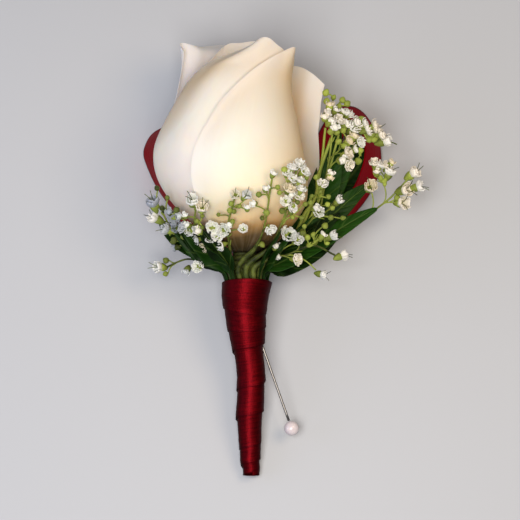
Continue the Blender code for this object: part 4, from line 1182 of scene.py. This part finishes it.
def petal_whorl(rng, count, reach, rise, width, start):
    """A ring of floret petals: each runs out from its claw and up, and is widest near its notched end."""
    shapes = []
    for k in range(count):
        angle = TAU * (k + rng.uniform(-0.25, 0.25)) / count + reach * 2.0
        u, v = across_and_along(7, 7)
        notched = 1 - (0.3 * u**2 + 0.24 * bell_curve(u, 0.3)) * v**4
        out = 0.25 + reach * rng.uniform(0.8, 1.15) * np.sin(v * 1.35) * notched
        lift = start + rise * rng.uniform(0.7, 1.2) * (1 - np.cos(v * 1.7)) / 1.13
        lift = lift + 0.15 * np.sin(u * 3.0 + rng.uniform(0, 6)) * v**2 + 0.3 * u**2 * v
        across = u * width * (0.26 + 0.72 * np.sin(v * 2.0) ** 1.3)
        shapes.append(petal_round(angle, out, across, lift, v))
    return shapes


def calyx_shape(length, wide, top):
    """A green bell with five ribs, from its stalk up to where the petals leave it."""
    share, stalk = np.linspace(0, 1, 7), 0.28
    axis = np.stack([0 * share, 0 * share, top - length * (1 - share)], -1)
    radius = stalk + (wide - stalk) * np.sin(share * 1.75) ** 0.9
    return tube_shape(axis, radius, 10, shade=0.5, furrows=5, furrow_depth=0.2)


def floret_open(seed):
    """An open floret, facing z with its face near z = 0: a calyx and three whorls of broad petals."""
    rng = np.random.default_rng(seed)
    shapes = [calyx_shape(length=2.1, wide=1.0, top=-1.0)]
    for whorl in WHORLS[OPEN]:
        shapes += petal_whorl(rng, *whorl)
    return joined(shapes)


def floret_bell(seed):
    """A floret half open: a long calyx, petals that stand up round its mouth, and two bent styles."""
    rng = np.random.default_rng(BELL_SEED + seed)
    shapes = [calyx_shape(length=2.5, wide=1.25, top=-1.5)]
    for whorl in WHORLS[BELL]:
        shapes += petal_whorl(rng, *whorl)
    for _ in range(2):
        angle = rng.uniform(0, TAU)
        share = np.linspace(0, 1, 6)
        bend = 0.2 + 1.6 * share**2
        path = np.stack([bend * math.cos(angle), bend * math.sin(angle), -1.2 + 2.9 * share], -1)
        shapes.append(tube_shape(path, 0.09, 5))
    return joined(shapes)


def floret_bud(seed):
    """A bud about to open: a green calyx round furled white petals that end in a blunt cone."""
    rng = np.random.default_rng(seed)
    shapes = []
    for finish, profile, furrows in ((0, BUD_CALYX, 5), (1, BUD_PETALS, 3)):
        up, radius = np.array(profile).T
        axis = np.stack([0 * up, 0 * up, up], -1)
        shapes.append(tube_shape(axis, radius, 12, finish, 0.7, rng.uniform(0.2, 0.6), furrows, 0.18))
    for k in range(3):
        angle = TAU * (k + rng.uniform(-0.2, 0.2)) / 3
        u, v = across_and_along(5, 5)
        out = 0.5 + 0.55 * np.sin(v * 2.2)
        up = -1.0 + 1.1 * v + 0.1 * np.sin(5 * u)
        across = u * 0.55 * (0.5 + 0.6 * np.sin(v * 2.6))
        shapes.append(petal_round(angle, out, across, up, 0.4 + 0.6 * v))
    return joined(shapes)


def floret_green(seed):
    """A green bud: an egg with five furrows, in one of two widths."""
    rng = np.random.default_rng(seed)
    v = np.linspace(0.03, 0.97, 9)
    axis = np.stack([0 * v, 0 * v, -1.8 + 1.85 * v], -1)
    radius = (0.9 if seed % 2 else 0.75) * np.sin(math.pi * v**0.85) ** 0.75
    return tube_shape(axis, radius, 12, 0, 0.5, rng.uniform(0.5, 1.0), 5, 0.1)


FLORET_KINDS = {OPEN: [floret_open(seed) for seed in range(8)],
                BELL: [floret_bell(seed) for seed in range(6)],
                BUD: [floret_bud(seed) for seed in range(5)],
                GREEN: [floret_green(seed) for seed in range(4)]}


def bract_shapes(sprig, number):
    """Dark leaves from the sprig's foot: a thin stalk out of the wrap, then a blade that hugs the bud.

    The blades are broad and long at the bunch's sides, and are left out in front and behind.
    """
    rng = np.random.default_rng(BRACT_SEED + number)
    shapes = []
    for turn, reach in ((-12.0, 1.0), (6.0, 0.85)):
        slot = sprig["slot"] + turn + rng.uniform(-4, 4)
        if not 32 < abs(slot) < 130:
            continue
        angle = math.radians(slot)
        sideways = abs(math.sin(angle))
        reach = reach * (0.35 + 0.85 * sideways) * rng.uniform(0.8, 1.2)
        tip = 67.5 + 3.5 * reach * rng.uniform(0.7, 1.2)
        heights = np.array([55.0, 58.2, 61.4, 64.8 + 0.5 * (1 - sideways), tip])
        widths = np.array([5.8, 6.7, 8.4, 12.0, 14.0 + 5.5 * reach])
        path = clear_of_bud(round_axis(stem_axis(heights), widths, heights, angle))
        face = np.array([math.sin(angle), 0.35, math.cos(angle)]) + rng.uniform(-0.45, 0.45, 3)
        wide = rng.uniform(1.9, 2.6) + 0.9 * sideways
        outline = dict(stalk=0.2, least=0.35, wide=wide, fullest=0.8, blunt=0.8, tip=0.35)
        # A low shade paints these blades near black: painted shade in the foliage round the neck.
        shapes.append(blade_shape(path, face, outline, thickness=0.24, size=(9, 25), finish=2, wave=0.2,
                                  shade=rng.uniform(0.0, 0.3), seed=number, fold=0.3))
    return shapes


def joint_bract(stalk, rng):
    """A tiny pointed leaf where a stalk leaves its stem: a sine wide, curving away from the stalk."""
    turn = facing_turn(stalk[2] - stalk[0], rng.uniform(0, 6))
    u, v = across_and_along(5, 7)
    half = 0.42 * np.sin(math.pi * np.clip(v, 0.02, 0.98) ** 0.7)
    grid = np.stack([u * half, 0.2 + 0.9 * v**1.5, 1.9 * v], -1) @ turn.T + stalk[0]
    return sheet_shape(grid, 0.12, shade=0.6)


def placed_floret(floret, sprig, rng):
    """A floret of its kind, turned a little off its direction, at its place, with its own size and tint.

    One floret in ten is much creamier than the rest.
    """
    kinds = FLORET_KINDS[floret["kind"]]
    turn = facing_turn(floret["facing"] + rng.uniform(-0.3, 0.3, 3), rng.uniform(0, TAU))
    if floret["kind"] in (OPEN, BELL):
        scale = rng.uniform(0.8, 1.12) * sprig.get("size", 1.0)
    else:
        scale = rng.uniform(0.85, 1.2) * sprig.get("swell", 1.0)
    made = moved(kinds[rng.integers(len(kinds))], turn, floret["place"], scale)
    green = np.clip(made["shade"] * rng.uniform(0.6, 1.5), 0, 1)
    tint = sprig.get("tint", 0.42) + rng.uniform(-0.2, 0.2) + (0.45 if rng.uniform() < 0.1 else 0.0)
    made["shade"] = np.where(made["rim"] > 0, np.clip(tint, 0, 1), green)
    return made


def build_sprigs(green, white, leaf_finish):
    """Each sprig's stem, which thins as it leaves the neck, its stalks, small leaves and florets."""
    for number, (name, sprig) in enumerate(SPRIGS.items()):
        stem, stalks, florets = grow_sprig(sprig, MORE_FLORETS.get(name, ()))
        rng = np.random.default_rng(SPRIG_SEED + number)
        away = np.hypot(stem[:, 0] - stem_axis(stem[:, 1]), stem[:, 2])
        thick = STEM_RADIUS * (0.65 + 1.1 * smoothstep(-away, -13.0, -7.0))
        # A shade of 0 below the neck's top paints the stem dark there, painted shade under the rose and
        # leaves.
        shapes = [tube_shape(stem, thick, 10, shade=0.45 * smoothstep(stem[:, 1], 66.0, 76.0))]
        share = np.linspace(0, 1, 30)
        for radius, bare in MORE_STEMS.get(name, ()):
            path = clear_of_bud(smooth_curve([*neck_points(sprig["slot"])[2:], *bare], share))
            # These bare stems are painted dark low down as well, painted shade at the neck.
            shade = 0.1 + 0.75 * smoothstep(path[:, 1], 60.0, 70.0)
            shapes.append(tube_shape(path, radius * (1.2 - 0.4 * share), 8, shade=shade))
        for stalk in stalks:
            swell = 1 + 0.35 * bell_curve(np.linspace(0, 1, len(stalk)), 0.12)
            shapes.append(tube_shape(stalk, STALK_RADIUS * swell, 7, shade=rng.uniform(0.3, 0.9)))
        shapes += [joint_bract(stalk, rng) for stalk in stalks[::2]]
        shapes += [placed_floret(floret, sprig, rng) for floret in florets]
        shapes += bract_shapes(sprig, number)
        make_piece(name, shapes, [green, white, leaf_finish])


# ---------------------------------------------------------------- ribbon, tape and pin

def wound_strip(turns, width, top, arch, inset, lift, thickness, columns, crumple):
    """A strip wound up the stem: its lower edge follows a height for each turn, over the turn below.

    A point lies at its turn's angle round the wrap's middle. Its distance out is the wrap's radius there,
    less the inset, less the lift times the share of the width above the lower edge, and a little crumple.
    The strip is cut off at the top, whose edge rises by the arch in front and falls by it behind.
    """
    knots = np.array(turns, float)
    count = int((knots[-1, 0] - knots[0, 0]) * columns)
    turn = np.linspace(knots[0, 0], knots[-1, 0], count)
    low = curve_at(knots[:, 1:], knots[:, 0], turn)[:, 0]
    share = np.sin(np.linspace(-0.5, 0.5, STRIP_LINES) * math.pi) / 2 + 0.5
    turn, share = np.meshgrid(turn, share)
    low = np.broadcast_to(low, turn.shape)
    angle = TAU * turn
    brim = top + arch * np.cos(angle)
    up = low + np.minimum(width, np.maximum(brim - low, 0.5)) * share
    up = np.maximum(up, 0.05 + 0.05 * share)
    middle, radius = wrap_at(up)
    wrinkle = (np.sin(3 * angle + 1.9 * up) * 0.5 + np.sin(5 * angle - 1.1 * up + 2.0) * 0.35
               + np.sin(1.3 * angle + 3.1 * up) * 0.3)
    radius = radius - inset + lift * (0.45 - share**0.7) + crumple * wrinkle * (1 - share)
    grid = round_axis(middle, radius, up, angle)
    along = lengths_along(grid[STRIP_LINES // 2])
    lay = np.stack([(share - 0.5) * width, np.broadcast_to(along, share.shape)], -1)
    return sheet_shape(grid, thickness, 0, lay, np.abs(2 * share - 1)), along[-1]


def build_wrap(satin, tape):
    """The bound ribbon, with its end folded under the stem's cut end, and the tape under it."""
    ribbon, length = wound_strip(RIBBON_TURNS, RIBBON_WIDTH, top=RIBBON_TOP - 0.7, arch=1.5, inset=0.0,
                                 lift=0.5, thickness=0.2, columns=84, crumple=0.07)
    up, radius = np.array(FOLDED_END).T
    folded_end = tube_shape(round_axis(WRAP_PROFILE[0][1], 0.0, up, 0.0), radius, 32, furrows=7,
                            furrow_depth=0.06)
    wrap = make_piece("ribbon_wrap", [ribbon, folded_end], [satin])
    strip, length = wound_strip(TAPE_TURNS, TAPE_WIDTH, top=RIBBON_TOP - 0.4, arch=0.8, inset=1.0,
                                lift=0.2, thickness=0.14, columns=48, crumple=0.04)
    bound = make_piece("floral_tape", [strip], [tape])


def build_loops(satin):
    """Each loop is a strip ruled between its front and back edges, with two sine creases across it."""
    for name, loop in RIBBON_LOOPS.items():
        v, u = np.meshgrid(np.linspace(0, 1, 161), np.linspace(0, 1, STRIP_LINES), indexing="ij")
        front, back = (even_curve(loop[key], v[:, 0])[:, None] for key in ("front", "back"))
        grid = front * (1 - u[..., None]) + back * u[..., None]
        crease = np.sin(TAU * (5 * v + 0.6 * u)) + 0.6 * np.sin(TAU * (11 * v - 0.8 * u) + 1.0)
        grid = grid + grid_normals(grid) * (0.11 * crease * np.sin(math.pi * v))[..., None]
        width = np.linalg.norm(back - front, axis=-1)
        along = lengths_along(grid[:, STRIP_LINES // 2])
        lay = np.stack([(u - 0.5) * width, np.broadcast_to(along[:, None], u.shape)], -1)
        shape = sheet_shape(grid, LOOP_THICKNESS, 0, lay, np.abs(2 * u - 1), LOOP_PAINTED_LIGHT)
        piece = make_piece(name, [shape], [satin])


def build_pin(steel, pearl):
    """A needle with a ground point, in a round head."""
    way = unit(PIN_HEAD_PLACE - PIN_NEEDLE_TIP)
    end = PIN_HEAD_PLACE - way * (PIN_HEAD_RADIUS + PIN_GAP)
    reach = np.linalg.norm(end - PIN_NEEDLE_TIP)
    steps = np.array([0.0, 0.4, 0.9, 1.5, 2.2, *np.linspace(4.0, reach, 12)])
    radius = PIN_NEEDLE_RADIUS * np.clip(0.12 + steps / 2.4, 0, 1)
    needle = tube_shape(PIN_NEEDLE_TIP + way * steps[:, None], radius, 24)
    make_piece("pin_needle", [needle], [steel])
    polar = np.linspace(0.06, math.pi - 0.06, 33)
    lacquered = PIN_HEAD_RADIUS + 0.1
    axis = PIN_HEAD_PLACE - way * lacquered * np.cos(polar)[:, None]
    make_piece("pin_head", [tube_shape(axis, lacquered * np.sin(polar), 48)], [pearl])


leaf_skin = leaf_material()
satin_cloth = satin_material()
build_rose(petal_material(), stem_material("rose_stem", "#4a5222", "#1a1f0c", 0.5),
           stem_material("sepal", "#566324", "#131a0a", 0.7))
build_leaves(leaf_skin)
build_sprigs(stem_material("babys_breath_stem", "#9dae4c", "#17230a", 0.4), floret_material(), leaf_skin)
build_wrap(satin_cloth, tape_material())
build_loops(satin_cloth)
build_pin(steel_material(), pearl_material())

# ---------------------------------------------------------------- floor, light and camera

def add_floor(half):
    """A plain board under the bunch, so many metres from its middle to each side."""
    mesh = bpy.data.meshes.new("floor")
    mesh.from_pydata([(-half, -half, 0), (half, -half, 0), (half, half, 0), (-half, half, 0)], [],
                     [(0, 1, 2, 3)])
    mesh.materials.append(floor_material())
    floor = bpy.data.objects.new("floor", mesh)
    bpy.context.scene.collection.objects.link(floor)
    floor.visible_glossy = False


def stand(name, data, turn, place):
    """A lamp or camera, turned by a matrix, at a place in the bunch's frame."""
    thing = bpy.data.objects.new(name, data)
    bpy.context.scene.collection.objects.link(thing)
    rows = np.eye(4)
    rows[:3, :3], rows[:3, 3] = turn, to_row(place)
    thing.matrix_world = rows.T.tolist()
    return thing


def add_light(name, place, aim, size, power, tint):
    """A square soft box at a place in the bunch's frame, facing another."""
    light = bpy.data.lights.new(name, "AREA")
    light.size = size
    light.energy = power
    light.color = colour(tint)[:3]
    z = unit(to_row(place) - to_row(aim))
    x = unit(np.cross([0.0, 1.0, 0.0], z))
    stand(name, light, np.stack([x, np.cross(z, x), z], -1), place)


def add_camera():
    """Square to the bunch's face, VIEW_DISTANCE from it, with VIEW_WIDTH of it across the frame."""
    camera = bpy.data.cameras.new("camera")
    camera.angle = 2 * math.atan(VIEW_WIDTH / 2 / VIEW_DISTANCE)
    camera.clip_start = 0.01
    camera.clip_end = 20.0
    bpy.context.scene.camera = stand("camera", camera, TURN, [*VIEW_MIDDLE, VIEW_DISTANCE])


def add_world():
    """A dim even room, a little cool."""
    world = bpy.data.worlds.new("room")
    world.use_nodes = True
    fill_named(world.node_tree.nodes["Background"], Color="#dfe4ea", Strength=0.25)
    bpy.context.scene.world = world


add_floor(1.5)
add_light("key", (-60.0, 30.0, 480.0), (-2.0, 80.0, 5.0), 0.24, 2.1, "#fff6ee")
add_light("warm_side", (230.0, 180.0, 380.0), (0.0, 80.0, 5.0), 0.2, 0.65, "#ffe0b8")
add_light("cool_side", (-460.0, 80.0, 200.0), (0.0, 75.0, 5.0), 0.35, 0.5, "#cdd6ff")
add_camera()
add_world()
bpy.context.scene.view_settings.view_transform = "Standard"
